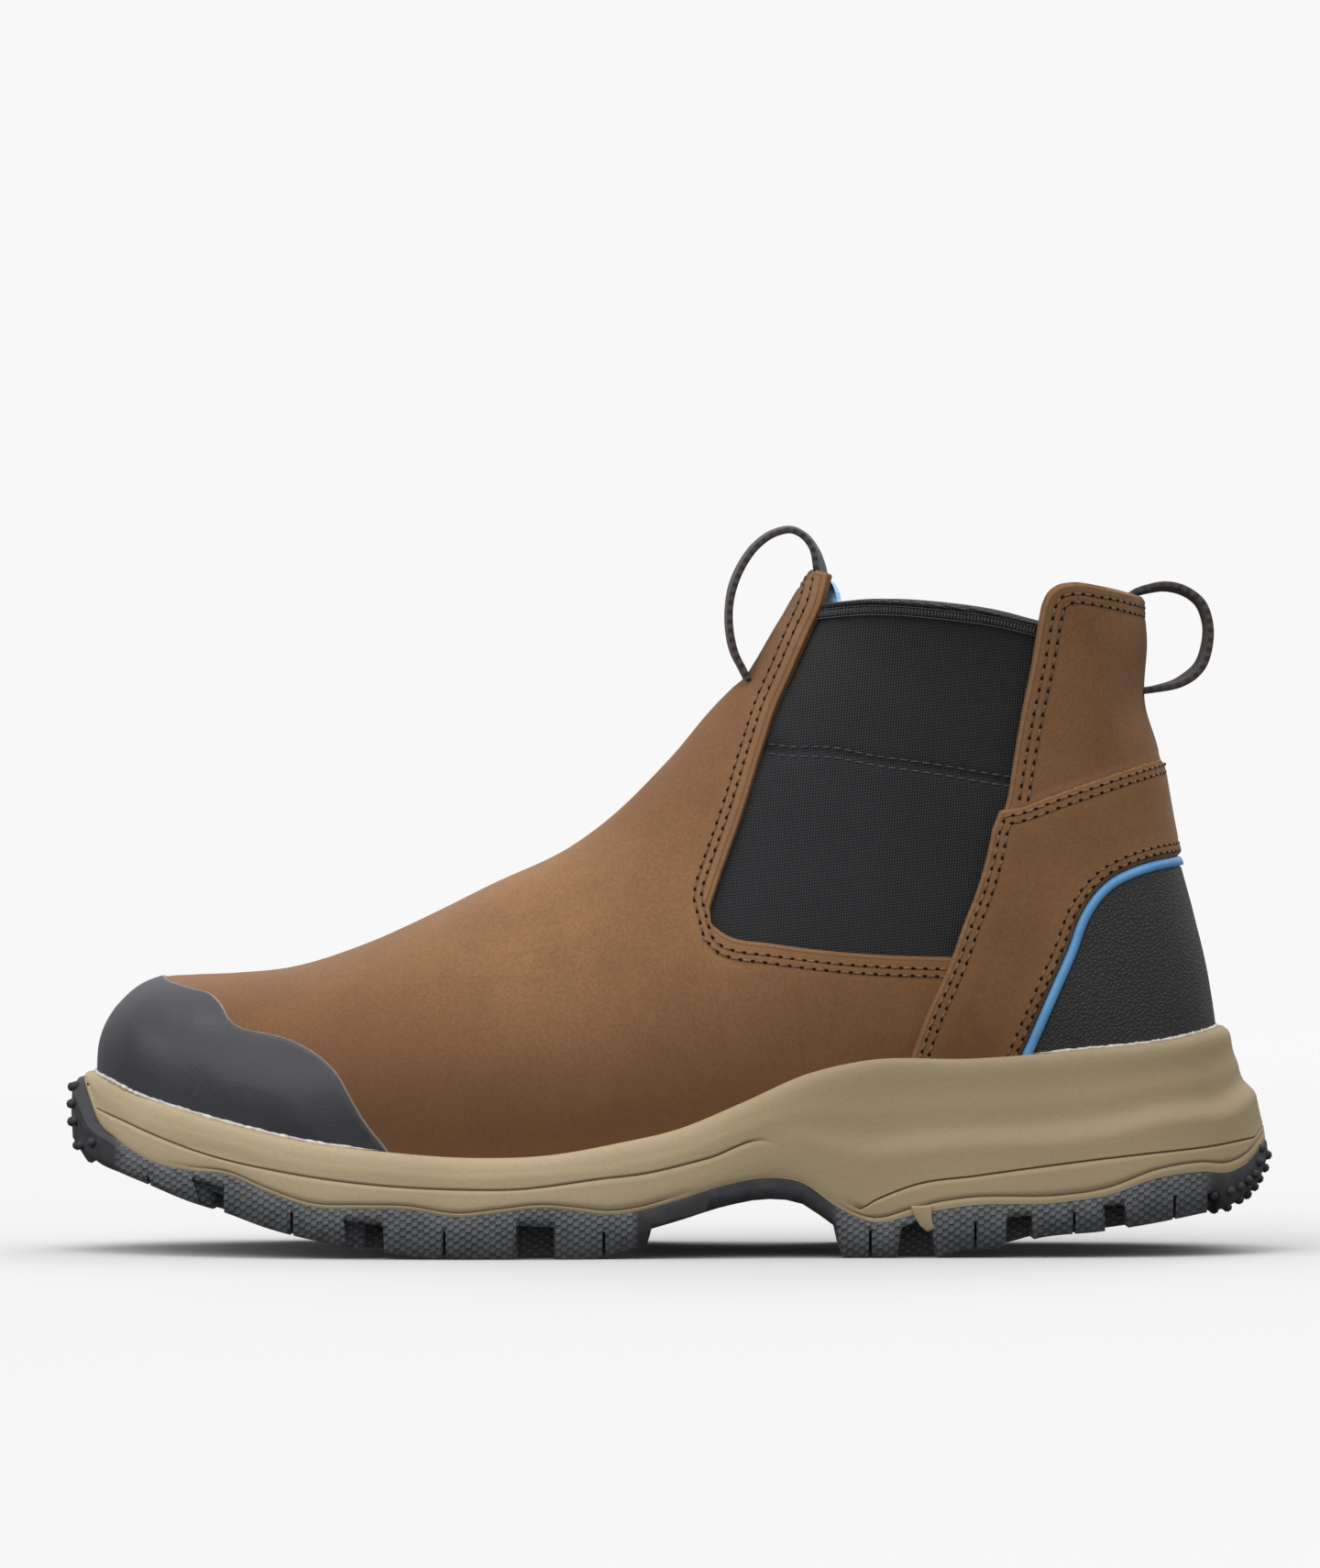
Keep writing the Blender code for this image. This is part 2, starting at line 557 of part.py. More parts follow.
def make_outsole():
    sole = outsole_body()
    wide = SOLE_WIDTH
    for toe_face, heel_face, lean, depth in LUG_GAPS:
        for side in (1, -1):
            low, high = sorted((side * (wide / 2 - GAP_REACH * wide), side * wide))
            carve(sole, gap_prism(toe_face, heel_face, lean, depth, low, high), "DIFFERENCE")
    for share in CENTRE_GAPS:
        half = CENTRE_GAP_LENGTH / 2
        reach = CHANNEL_PLACE * wide
        carve(sole, gap_prism(share + half, share - half, 0.004, 0.5, -reach, reach), "DIFFERENCE")
    for start, end in CHANNEL_RUNS:
        for side in (1, -1):
            carve(sole, channel_cutter(start, end, side), "DIFFERENCE")
    carve(sole, arch_prism(), "DIFFERENCE")
    for share in SIPES:
        for side in (1, -1):
            carve(sole, sipe_cutter(share, side), "DIFFERENCE")
    return sole


def make_midsole():
    body = midsole_body()
    cavity = carve(last_form(CLEARANCE), below_feather(-CLEARANCE), "DIFFERENCE")
    return carve(body, cavity, "DIFFERENCE")


def sole_envelope():
    """What the overlays stop above: the midsole's outer body, raised by the clearance."""
    body = midsole_body(drop=SOLE_HEIGHT / 2)
    body.location.z += CLEARANCE
    return body


def collar_cutter():
    """Everything above the collar, with the two gore windows in one outline."""
    points = outline(TAB_TOP, GORE_FRONT, GORE_FOOT, GORE_REAR, COLLAR_REAR)
    points += [frame_corner(0.0, 0.93), frame_corner(0.0, 1.4), frame_corner(0.6, 1.4), frame_corner(0.43, 1.02)]
    return side_prism(points)


def make_upper():
    wall = shell(0.0, -LEATHER)
    carve(wall, collar_cutter(), "DIFFERENCE")
    return carve(wall, below_feather(0.0), "DIFFERENCE")


def make_insole():
    board = last_form(-LEATHER - CLEARANCE)
    carve(board, below_feather(0.0), "DIFFERENCE")
    return carve(board, below_feather(INSOLE), "INTERSECT")


def gore_outline(top_drop, allowance):
    """The panel's outline behind the leather: the window grown by the seam allowance, under a straight top."""
    sides = shifted(outline(GORE_FRONT, GORE_FOOT, GORE_REAR), allowance)
    drop = Vector((0, 0, -top_drop))
    top = [p + drop for p in outline(GORE_TOP)]
    sides = [p for p in sides if p.z < min(top[0].z, top[-1].z)]
    return [*sides, *reversed(top)]


def make_gore(side):
    panel = shell(-LEATHER - CLEARANCE, -LEATHER - CLEARANCE - GORE)
    low, high = sorted((side * GORE_SPACING / 2, side * LENGTH))
    allowance = 0.0030
    cutter = side_prism(gore_outline(BINDING_HEIGHT + CLEARANCE, allowance), low, high)
    return carve(panel, cutter, "INTERSECT")


def make_binding(side):
    """The tape folded over the gore's top edge, a little thicker than the gore."""
    spread = (BINDING - GORE) / 2
    tape = shell(-LEATHER - CLEARANCE + spread, -LEATHER - CLEARANCE - GORE - spread)
    top = outline(GORE_TOP)
    inset = 0.0010
    front, rear = side_point(GORE_FRONT[1]), side_point(GORE_REAR[-1])
    kept = [front + Vector((-inset, 0, 0)), *top[1:-1], rear + Vector((inset, 0, 0))]
    for point in (kept[0], kept[-1]):
        point.z = SOLE_HEIGHT + level_on(GORE_TOP, share_of(point.x)) * UPPER_HEIGHT
    lower = [p - Vector((0, 0, BINDING_HEIGHT)) for p in kept]
    low, high = sorted((side * GORE_SPACING / 2, side * LENGTH))
    return carve(tape, side_prism([*kept, *reversed(lower)], low, high), "INTERSECT")


def overlay(points, thickness):
    """A piece of the upper's skin inside a side outline, stopped above the midsole."""
    piece = carve(shell(CLEARANCE + thickness, CLEARANCE), side_prism(points), "INTERSECT")
    return carve(piece, sole_envelope(), "DIFFERENCE")


def make_toe_cap():
    return overlay([*outline(CAP_EDGE), frame_corner(1.1, -0.33), frame_corner(1.1, 0.19)], OVERLAY)


def make_back_panel():
    """The collar's rear, between the gores, down to the band."""
    front = shifted(outline(GORE_REAR[3:], COLLAR_REAR), CLEARANCE)
    seam = shifted(outline(BAND_TOP), -CLEARANCE)
    return overlay([*front, frame_corner(0.0, 0.92), frame_corner(0.0, 0.63), *reversed(seam)], OVERLAY)


def make_band():
    lower = shifted(outline(PIPE_TOP), CLEARANCE / 2)
    front = outline(BAND_FRONT)
    points = [*reversed(outline(BAND_TOP)), *front, *reversed(lower), frame_corner(0.0, 0.38)]
    points += [frame_corner(0.0, 0.62)]
    return overlay(points, BAND)


def make_piping():
    top = shifted(outline(PIPE_TOP), -CLEARANCE / 2)
    foot = shifted(outline(PIPE_TOP), -CLEARANCE / 2 - PIPE_WIDTH)
    corners = [Vector((along(0.0), 0, foot[0].z)), Vector((along(0.0), 0, top[0].z))]
    return overlay([*top, *reversed(foot), *corners], PIPING)


def make_counter():
    top = shifted(outline(PIPE_TOP), -1.5 * CLEARANCE - PIPE_WIDTH)
    corners = [Vector((along(0.0), 0, top[-1].z)), Vector((along(0.0), 0, top[0].z))]
    return overlay([*top, *corners], OVERLAY)


def make_loop(path):
    """A webbing loop: the path thickened and extruded across its width."""
    points = outline(path)
    runs = np.concatenate([[0], np.cumsum([(b - a).length for a, b in zip(points, points[1:])])])
    steps = np.linspace(0, runs[-1], 25)
    fine = [Vector((float(smooth(runs, [p.x for p in points], s)), 0,
                    float(smooth(runs, [p.z for p in points], s)))) for s in steps]  # fmt: skip
    outer, inner = shifted(fine, WEBBING / 2), shifted(fine, -WEBBING / 2)
    return side_prism([*outer, *reversed(inner)], -WEBBING_WIDTH / 2, WEBBING_WIDTH / 2)


def material(name):
    red, green, blue, roughness = COLOURS[name]
    made = bpy.data.materials.new(name)
    made.use_nodes = True
    shader = made.node_tree.nodes["Principled BSDF"]
    shader.inputs["Base Color"].default_value = (red, green, blue, 1)
    shader.inputs["Roughness"].default_value = roughness
    shader.inputs["Metallic"].default_value = 0.0
    return made


def finish(obj, name, material_of):
    obj.name = name
    obj.data.materials.clear()
    obj.data.materials.append(material_of[name_of_material(name)])
    obj.data.shade_smooth()
    obj.data.set_sharp_from_angle(angle=math.radians(35))


def name_of_material(name):
    return {
        "outsole": "rubber",
        "midsole": "foam",
        "insole": "insole_foam",
        "upper": "leather",
        "gore_outer": "elastic",
        "gore_inner": "elastic",
        "gore_binding_outer": "elastic",
        "gore_binding_inner": "elastic",
        "toe_cap": "cap_rubber",
        "back_panel": "leather",
        "quarter_band": "leather",
        "heel_piping": "blue_trim",
        "heel_counter": "black_leather",
        "front_pull_loop": "webbing",
        "back_pull_loop": "webbing",
    }[name]


def main():
    clear_scene()
    materials = {name: material(name) for name in COLOURS}
    pieces = {
        "outsole": make_outsole(),
        "midsole": make_midsole(),
        "insole": make_insole(),
        "upper": make_upper(),
        "gore_outer": make_gore(1),
        "gore_inner": make_gore(-1),
        "gore_binding_outer": make_binding(1),
        "gore_binding_inner": make_binding(-1),
        "toe_cap": make_toe_cap(),
        "back_panel": make_back_panel(),
        "quarter_band": make_band(),
        "heel_piping": make_piping(),
        "heel_counter": make_counter(),
        "front_pull_loop": make_loop(FRONT_LOOP),
        "back_pull_loop": make_loop(BACK_LOOP),
    }
    for name, obj in pieces.items():
        finish(obj, name, materials)


main()
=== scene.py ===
"""A side gore work boot, left foot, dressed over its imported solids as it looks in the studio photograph."""

import math

import bmesh
import bpy
import numpy as np
from mathutils import Matrix, Vector
from mathutils.bvhtree import BVHTree
from mathutils.geometry import barycentric_transform


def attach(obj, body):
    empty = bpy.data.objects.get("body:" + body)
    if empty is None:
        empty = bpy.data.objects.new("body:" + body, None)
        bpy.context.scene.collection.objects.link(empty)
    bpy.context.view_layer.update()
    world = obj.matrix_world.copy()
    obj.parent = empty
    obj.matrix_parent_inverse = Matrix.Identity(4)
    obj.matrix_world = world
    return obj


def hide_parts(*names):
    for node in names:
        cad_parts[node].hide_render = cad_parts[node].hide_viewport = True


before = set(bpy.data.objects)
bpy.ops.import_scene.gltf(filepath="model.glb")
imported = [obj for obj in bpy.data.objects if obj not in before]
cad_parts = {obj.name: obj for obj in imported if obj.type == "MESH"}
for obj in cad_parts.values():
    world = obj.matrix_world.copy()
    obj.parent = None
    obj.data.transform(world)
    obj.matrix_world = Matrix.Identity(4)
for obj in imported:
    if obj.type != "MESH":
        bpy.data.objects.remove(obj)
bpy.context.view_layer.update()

# Camera
# A long lens looks square at the outer side of the boot, with the toe to the left. Its height and
# distance put the boot where it stands in the photograph.
PICTURE = (1440, 1710)
MM_PER_PIXEL = 0.2353
CAMERA_DISTANCE = 2.6
CAMERA_AIM = (0.0022, 0.0, 0.1195)
camera = bpy.data.objects.new("camera", bpy.data.cameras.new("camera"))
camera.data.sensor_fit = "VERTICAL"
camera.data.sensor_height = 36.0
camera.data.lens = 36.0 * CAMERA_DISTANCE / (PICTURE[1] * MM_PER_PIXEL / 1000)
camera.data.clip_end = 50
camera.location = (CAMERA_AIM[0], CAMERA_DISTANCE, CAMERA_AIM[2])
camera.rotation_euler = (math.pi / 2, 0, math.pi)
bpy.context.scene.collection.objects.link(camera)
bpy.context.scene.camera = camera


# Studio
# The boot stands on a pale floor that runs on to a background of the same tone. The floor's own colour is
# that tone divided by the light that falls there, so only the boot's soft shadow shows on it. It throws no
# light back on the boot.
def paint(red, green, blue):
    """A colour as a picture shows it, from 0 to 255, made linear."""
    shares = (value / 255 for value in (red, green, blue))
    return tuple(((c + 0.055) / 1.055) ** 2.4 if c > 0.04 else c / 12.92 for c in shares)


class Wire:
    """A shader socket that Python's own operators work on."""

    def __init__(self, finish, socket):
        self.finish = finish
        self.socket = socket

    def math(self, operation, *others):
        return self.finish.node("ShaderNodeMath", {"operation": operation}, self, *others)

    def __add__(self, other):
        return self.math("ADD", other)

    __radd__ = __add__

    def __sub__(self, other):
        return self.math("SUBTRACT", other)

    def __rsub__(self, other):
        return self.finish.node("ShaderNodeMath", {"operation": "SUBTRACT"}, other, self)

    def __mul__(self, other):
        return self.math("MULTIPLY", other)

    __rmul__ = __mul__

    def __truediv__(self, other):
        return self.math("DIVIDE", other)

    def __rtruediv__(self, other):
        return self.finish.node("ShaderNodeMath", {"operation": "DIVIDE"}, other, self)

    def __abs__(self):
        return self.math("ABSOLUTE")

    def sine(self):
        return self.math("SINE")

    def rises(self, start, end):
        """0 before start, 1 after end, and smooth between."""
        settings = {"interpolation_type": "SMOOTHSTEP"}
        return self.finish.node("ShaderNodeMapRange", settings, self, start, end, 0.0, 1.0)

    def line_at(self, place, width):
        """1 on a line where the value equals place, fading to 0 at width to each side."""
        return 1 - abs(self - place).rises(0.0, width)


class Finish:
    """A material, its shader, and one way to add any other node."""

    def __init__(self, name, roughness, **fixed):
        self.material = bpy.data.materials.new(name)
        self.material.use_nodes = True
        self.tree = self.material.node_tree
        self.shader = self.tree.nodes["Principled BSDF"]
        self.shader.inputs["Roughness"].default_value = roughness
        for socket, value in fixed.items():
            self.shader.inputs[socket.replace("_", " ")].default_value = value

    def plug(self, socket, value):
        if isinstance(value, Wire):
            self.tree.links.new(value.socket, socket)
        elif isinstance(value, tuple) and len(value) == 3 and socket.type == "RGBA":
            socket.default_value = (*value, 1.0)
        else:
            socket.default_value = value

    def node(self, kind, settings, *values, output=0, **named):
        made = self.tree.nodes.new(kind)
        for setting, value in settings.items():
            setattr(made, setting, value)
        for socket, value in zip(made.inputs, values):
            self.plug(socket, value)
        for socket, value in named.items():
            self.plug(made.inputs[socket.replace("_", " ")], value)
        return Wire(self, made.outputs[output])

    def place(self):
        return self.node("ShaderNodeTexCoord", {}, output="Object")

    def axes(self):
        """X, Y and Z in metres."""
        made = self.tree.nodes.new("ShaderNodeSeparateXYZ")
        self.plug(made.inputs[0], self.place())
        return [Wire(self, socket) for socket in made.outputs]

    def noise(self, scale, detail, roughness):
        sizes = {"Scale": scale, "Detail": detail, "Roughness": roughness}
        return self.node("ShaderNodeTexNoise", {}, Vector=self.place(), **sizes)

    def cells(self, scale, feature="F1"):
        return self.node("ShaderNodeTexVoronoi", {"feature": feature}, Vector=self.place(), Scale=scale)

    def kept(self, name):
        """A number stored on the mesh."""
        return self.node("ShaderNodeAttribute", {"attribute_name": name}, output="Fac")

    def blend(self, factor, first, second):
        made = self.tree.nodes.new("ShaderNodeMix")
        made.data_type = "RGBA"
        self.plug(made.inputs[0], factor)
        self.plug(made.inputs[6], first)
        self.plug(made.inputs[7], second)
        return Wire(self, made.outputs[2])

    def colour(self, value):
        self.plug(self.shader.inputs["Base Color"], value)

    def roughness(self, value):
        self.plug(self.shader.inputs["Roughness"], value)

    def relief(self, height, depth):
        """A bump whose height is a number times depth in metres."""
        bump = self.node("ShaderNodeBump", {}, Strength=1.0, Distance=depth, Height=height, output="Normal")
        self.plug(self.shader.inputs["Normal"], bump)


def speckled(name, roughness, pattern, span, dark, light, depth, **fixed):
    """A material of two tones in one fine pattern, noise or cells, which also stands in low relief."""
    finish = Finish(name, roughness, **fixed)
    grain = finish.noise(*pattern) if len(pattern) == 3 else finish.cells(*pattern)
    finish.colour(finish.blend(grain.rises(*span), dark, light))
    finish.relief(grain, depth)
    return finish


def finished_object(name, bm, finish=None, sharp=40):
    """Puts a bmesh into the scene under this name, smooth but for its sharp edges."""
    mesh = bpy.data.meshes.new(name)
    bm.to_mesh(mesh)
    bm.free()
    obj = bpy.data.objects.new(name, mesh)
    bpy.context.scene.collection.objects.link(obj)
    mesh.shade_smooth()
    mesh.set_sharp_from_angle(angle=math.radians(sharp))
    if finish:
        mesh.materials.append(finish.material)
    return obj


BACKGROUND = paint(248, 248, 248)
FLOOR_HALF_WIDTH = 30.0
SKY_ON_FLOOR = 1.009
SKY_STRENGTH = (("From Min", -0.1), ("From Max", 1.0), ("To Min", 0.19), ("To Max", 1.365))
LAMPS = (
    # name, place, aim, size, power
    ("key", (0.8, 1.6, 1.5), (0.02, 0.0, 0.08), 1.0, 7),
    ("overhead", (0.15, 0.3, 1.3), (0.02, 0.0, 0.05), 0.8, 4),
    ("toe_side", (1.6, 0.7, 0.8), (0.08, 0.0, 0.05), 0.9, 5),
    ("far_side", (-0.6, -1.6, 1.4), (0.0, 0.0, 0.08), 1.0, 9),
)
paper = Finish("studio_paper", 1.0, Specular_IOR_Level=0.0)
x, y, z = paper.axes()
light = SKY_ON_FLOOR
for _, place, aim, _, power in LAMPS:
    way = (Vector(aim) - Vector(place)).normalized()
    ahead, aside = x - place[0], y - place[1]
    far = ahead * ahead + aside * aside + place[2] ** 2
    facing = (ahead * way.x + aside * way.y - place[2] * way.z).math("MAXIMUM", 0.0)
    light = facing * (power * place[2] / math.pi**2) / (far * far) + light
paper.colour(paper.blend(BACKGROUND[0] / light, (0.0, 0.0, 0.0), (1.0, 1.0, 1.0)))
bm = bmesh.new()
bmesh.ops.create_grid(bm, x_segments=1, y_segments=1, size=FLOOR_HALF_WIDTH)
floor = finished_object("studio_floor", bm, paper)
floor.visible_diffuse = False
floor.visible_glossy = False

world = bpy.data.worlds.new("studio")
world.use_nodes = True
sky = world.node_tree
ways = sky.nodes.new("ShaderNodeTexCoord")
split = sky.nodes.new("ShaderNodeSeparateXYZ")
height = sky.nodes.new("ShaderNodeMapRange")
seen = sky.nodes.new("ShaderNodeLightPath")
backdrop = sky.nodes.new("ShaderNodeBackground")
pick = sky.nodes.new("ShaderNodeMixShader")
overhead = sky.nodes["Background"]
for socket, value in SKY_STRENGTH:
    height.inputs[socket].default_value = value
overhead.inputs[0].default_value = (1, 1, 1, 1)
backdrop.inputs[0].default_value = (*BACKGROUND, 1)
sky.links.new(ways.outputs["Generated"], split.inputs[0])
sky.links.new(split.outputs[2], height.inputs["Value"])
sky.links.new(height.outputs[0], overhead.inputs[1])
sky.links.new(seen.outputs["Is Camera Ray"], pick.inputs[0])
sky.links.new(overhead.outputs[0], pick.inputs[1])
sky.links.new(backdrop.outputs[0], pick.inputs[2])
sky.links.new(pick.outputs[0], sky.nodes["World Output"].inputs[0])
bpy.context.scene.world = world
bpy.context.scene.view_settings.view_transform = "Standard"
for name, place, aim, size, power in LAMPS:
    lamp = bpy.data.lights.new(name, "AREA")
    lamp.shape = "DISK"
    lamp.size = size
    lamp.energy = power
    obj = bpy.data.objects.new(name, lamp)
    obj.location = place
    obj.rotation_euler = (Vector(aim) - Vector(place)).to_track_quat("-Z", "Y").to_euler()
    bpy.context.scene.collection.objects.link(obj)


# Last and upper leather
# The leather is pulled over a last, so every panel follows the last's form. It is brown nubuck with a
# fine nap, softly mottled, with painted shade that darkens it low down.
LENGTH = 0.308
SOLE_HEIGHT = 0.0577
UPPER_HEIGHT = 0.1173
LAST_WIDTH = 0.102
SHAFT_WIDTH = 0.078
KEEL_DEPTH = 0.0060
LAST_ROWS = 420
LAST_COLUMNS = 320
FEATHER = (
    (0.980, 0.700), (0.942, 0.577), (0.904, 0.500), (0.866, 0.447), (0.828, 0.402), (0.752, 0.341),
    (0.675, 0.317), (0.599, 0.333), (0.523, 0.374), (0.447, 0.439), (0.371, 0.504), (0.294, 0.545),
    (0.218, 0.565), (0.142, 0.577), (0.040, 0.589),
)  # fmt: skip
SECTIONS = (
    # crest_along, crest_up, keel_along, keel_up, mid, outer, inner, widest, crown, base
    (0.973, -0.100, 0.973, -0.100, -0.060, 0.000, 0.000, 0.50, 2.5, 2.4),
    (0.970, -0.030, 0.970, -0.170, -0.060, 0.110, 0.100, 0.50, 2.5, 2.4),
    (0.958, 0.032, 0.958, -0.250, -0.062, 0.210, 0.188, 0.52, 2.5, 2.6),
    (0.942, 0.078, 0.942, None, -0.063, 0.282, 0.252, 0.55, 2.5, 2.9),
    (0.922, 0.103, 0.922, None, -0.064, 0.335, 0.300, 0.60, 2.5, 3.2),
    (0.897, 0.109, 0.897, None, -0.064, 0.380, 0.335, 0.64, 2.45, 3.6),
    (0.862, 0.113, 0.862, None, -0.060, 0.424, 0.372, 0.68, 2.35, 4.0),
    (0.813, 0.127, 0.813, None, -0.050, 0.470, 0.416, 0.71, 2.2, 4.0),
    (0.752, 0.178, 0.752, None, -0.040, 0.512, 0.452, 0.74, 2.05, 4.0),
    (0.691, 0.251, 0.691, None, -0.030, 0.530, 0.462, 0.77, 1.95, 4.0),
    (0.634, 0.327, 0.626, None, -0.025, 0.526, 0.444, 0.79, 1.85, 4.0),
    (0.584, 0.395, 0.554, None, -0.025, 0.504, 0.410, 0.80, 1.80, 3.9),
    (0.538, 0.484, 0.474, None, -0.020, 0.464, 0.376, 0.78, 1.75, 3.8),
    (0.500, 0.580, 0.378, None, -0.015, 0.426, 0.358, 0.72, 1.75, 3.5),
    (0.468, 0.680, 0.264, None, -0.010, 0.396, 0.356, 0.63, 1.80, 3.1),
    (0.447, 0.737, 0.142, None, -0.005, 0.374, 0.354, 0.58, 1.90, 2.8),
    (0.436, 0.763, 0.062, -0.215, 0.000, 0.362, 0.352, 0.55, 1.95, 2.5),
    (0.427, 0.800, 0.048, -0.076, 0.000, 0.354, 0.348, 0.52, 2.00, 2.45),
    (0.419, 0.836, 0.054, 0.094, 0.000, 0.350, 0.346, 0.51, 2.05, 2.4),
    (0.412, 0.868, 0.067, 0.244, 0.000, 0.348, 0.346, 0.50, 2.10, 2.35),
    (0.405, 0.898, 0.081, 0.384, 0.000, 0.350, 0.350, 0.50, 2.10, 2.3),
    (0.399, 0.926, 0.091, 0.524, 0.000, 0.354, 0.354, 0.50, 2.15, 2.25),
    (0.393, 0.952, 0.099, 0.664, 0.000, 0.362, 0.362, 0.50, 2.15, 2.2),
    (0.387, 0.976, 0.106, 0.774, 0.000, 0.370, 0.370, 0.50, 2.15, 2.2),
    (0.381, 1.002, 0.108, 0.884, 0.000, 0.377, 0.377, 0.50, 2.15, 2.2),
    (0.373, 1.038, 0.107, 0.964, 0.000, 0.382, 0.382, 0.50, 2.15, 2.2),
    (0.362, 1.088, 0.105, 1.044, 0.000, 0.386, 0.386, 0.50, 2.15, 2.2),
)
SHAFT_ROW = 16
SHAFT_SHARE = 0.3824
ROW_CROWDING = 0.75
TOE_CROWDING = 1.1
ANGLES = 361


def smooth(xs, ys, x):
    """A smooth curve through the points, whose slope at each is a mean of its two neighbours'."""
    xs, ys = np.asarray(xs, float), np.asarray(ys, float)
    if xs[0] > xs[-1]:
        xs, ys = xs[::-1], ys[::-1]
    slopes = np.gradient(ys, xs)
    x = np.clip(x, xs[0], xs[-1])
    i = np.clip(np.searchsorted(xs, x) - 1, 0, len(xs) - 2)
    step = xs[i + 1] - xs[i]
    t = (x - xs[i]) / step
    return (
        (1 + 2 * t) * (1 - t) ** 2 * ys[i]
        + t * (1 - t) ** 2 * step * slopes[i]
        + t * t * (3 - 2 * t) * ys[i + 1]
        + t * t * (t - 1) * step * slopes[i + 1]
    )


def eased(value, start, end):
    """0 before start, 1 after end, and smooth between."""
    t = np.clip((value - start) / (end - start), 0, 1)
    return t * t * (3 - 2 * t)


def hump(value, middle, width):
    """1 where the value equals middle, falling off softly over width to each side."""
    return np.exp(-(((value - middle) / width) ** 2))


def run_along(points):
    """The distance from a line's start to each of its points."""
    return np.concatenate([[0], np.cumsum(np.linalg.norm(np.diff(points, axis=0), axis=1))])


def sole_line(table, share):
    """The height in metres of a line along the sole at a share of its length."""
    xs, levels = zip(*sorted(table))
    return smooth(xs, levels, share) * SOLE_HEIGHT


def side(shares):
    """Side view points in metres, from shares of LENGTH along and of UPPER_HEIGHT above the sole."""
    shares = np.asarray(shares, float)
    return np.stack([(shares[:, 0] - 0.5) * LENGTH, SOLE_HEIGHT + shares[:, 1] * UPPER_HEIGHT], axis=1)


def last_skin():
    """The last's surface as rows from toe to collar and columns round it from the crest by the outer side."""
    rows = []
    for number, row in enumerate(SECTIONS):
        crest_along, crest_up, keel_along, keel_up, mid, outer, inner, widest, crown, base = row
        (crest_x, crest_z), (keel_x, keel_z) = side([(crest_along, crest_up), (keel_along, keel_up or 0)])
        if keel_up is None:
            keel_z = sole_line(FEATHER, keel_along) - KEEL_DEPTH
        blend = min(1.0, max(0.0, (number - SHAFT_ROW) / (len(SECTIONS) - 1 - SHAFT_ROW)))
        width = LAST_WIDTH * (1 - blend) + SHAFT_WIDTH * 0.5 / SHAFT_SHARE * blend
        sideways = (mid * width, outer * width, inner * width)
        rows.append([crest_x, crest_z, keel_x, keel_z, *sideways, widest, crown, base])
    rows = np.array(rows)
    steps = np.hypot(*np.diff(rows[:, 0:2], axis=0).T) + np.hypot(*np.diff(rows[:, 2:4], axis=0).T)
    run = np.concatenate([[0], np.cumsum(steps**ROW_CROWDING)])
    spread = np.linspace(0, 1, LAST_ROWS + 1) ** TOE_CROWDING
    columns = [smooth(run / run[-1], column, spread)[:, None] for column in rows.T]
    crest_x, crest_z, keel_x, keel_z, mid, outer, inner, widest, crown, base = columns
    angle = np.linspace(0, math.pi, ANGLES)[None, :]
    power = np.where(np.cos(angle) > 0, crown, base)
    reach = np.abs(np.cos(angle)) ** (2 / power)
    sideways = np.abs(np.sin(angle)) ** (2 / power)
    share = np.where(np.cos(angle) > 0, widest * (1 - reach), widest + (1 - widest) * reach)
    halves = []
    for width in (outer, -inner):
        half = np.stack([crest_x + (keel_x - crest_x) * share, mid + width * sideways,
                         crest_z + (keel_z - crest_z) * share], axis=2)  # fmt: skip
        even = np.linspace(0, 1, LAST_COLUMNS // 2 + 1)
        evened = []
        for row in half:
            run = run_along(row)
            evened.append([np.interp(even * max(run[-1], 1e-9), run, row[:, axis]) for axis in range(3)])
        halves.append(np.array(evened).transpose(0, 2, 1))
    return np.concatenate([halves[0][:, :-1], halves[1][:, :0:-1]], axis=1)


def outward(skin):
    """Unit normals of the skin, away from the foot."""
    along_rows = np.gradient(skin, axis=0)
    round_columns = np.roll(skin, -1, axis=1) - np.roll(skin, 1, axis=1)
    normal = np.cross(round_columns, along_rows)
    normal /= np.maximum(np.linalg.norm(normal, axis=2, keepdims=True), 1e-12)
    centre = skin.mean(axis=1, keepdims=True)
    if (normal * (skin - centre)).sum() < 0:
        normal = -normal
    normal[0] = (1, 0, 0)
    return normal


SKIN = last_skin()
OUTWARD = outward(SKIN)


def curve(shares, steps=10):
    """A smooth side view line through these shares."""
    points = side(shares)
    run = run_along(points)
    fine = np.linspace(0, run[-1], steps * (len(points) - 1) + 1)
    return np.stack([smooth(run, points[:, 0], fine), smooth(run, points[:, 1], fine)], axis=1)


def moved(line, distance):
    """A side view line moved to its left."""
    run = np.gradient(line, axis=0)
    run /= np.linalg.norm(run, axis=1, keepdims=True)
    return line + np.stack([-run[:, 1], run[:, 0]], axis=1) * distance


def depth_inside(points, polygon):
    """Distance to the polygon's edge in the side view, negative outside."""
    px, pz = points[..., 0], points[..., 2]
    nearest = np.full(px.shape, 1e9)
    inside = np.zeros(px.shape, bool)
    for (ax, az), (bx, bz) in zip(polygon, np.roll(polygon, -1, axis=0)):
        dx, dz = bx - ax, bz - az
        size = dx * dx + dz * dz
        if size < 1e-16:
            continue
        t = np.clip(((px - ax) * dx + (pz - az) * dz) / size, 0, 1)
        nearest = np.minimum(nearest, (px - ax - t * dx) ** 2 + (pz - az - t * dz) ** 2)
        if az != bz:
            inside ^= ((az > pz) != (bz > pz)) & (px < dx * (pz - az) / dz + ax)
    return np.where(inside, 1, -1) * np.sqrt(nearest)


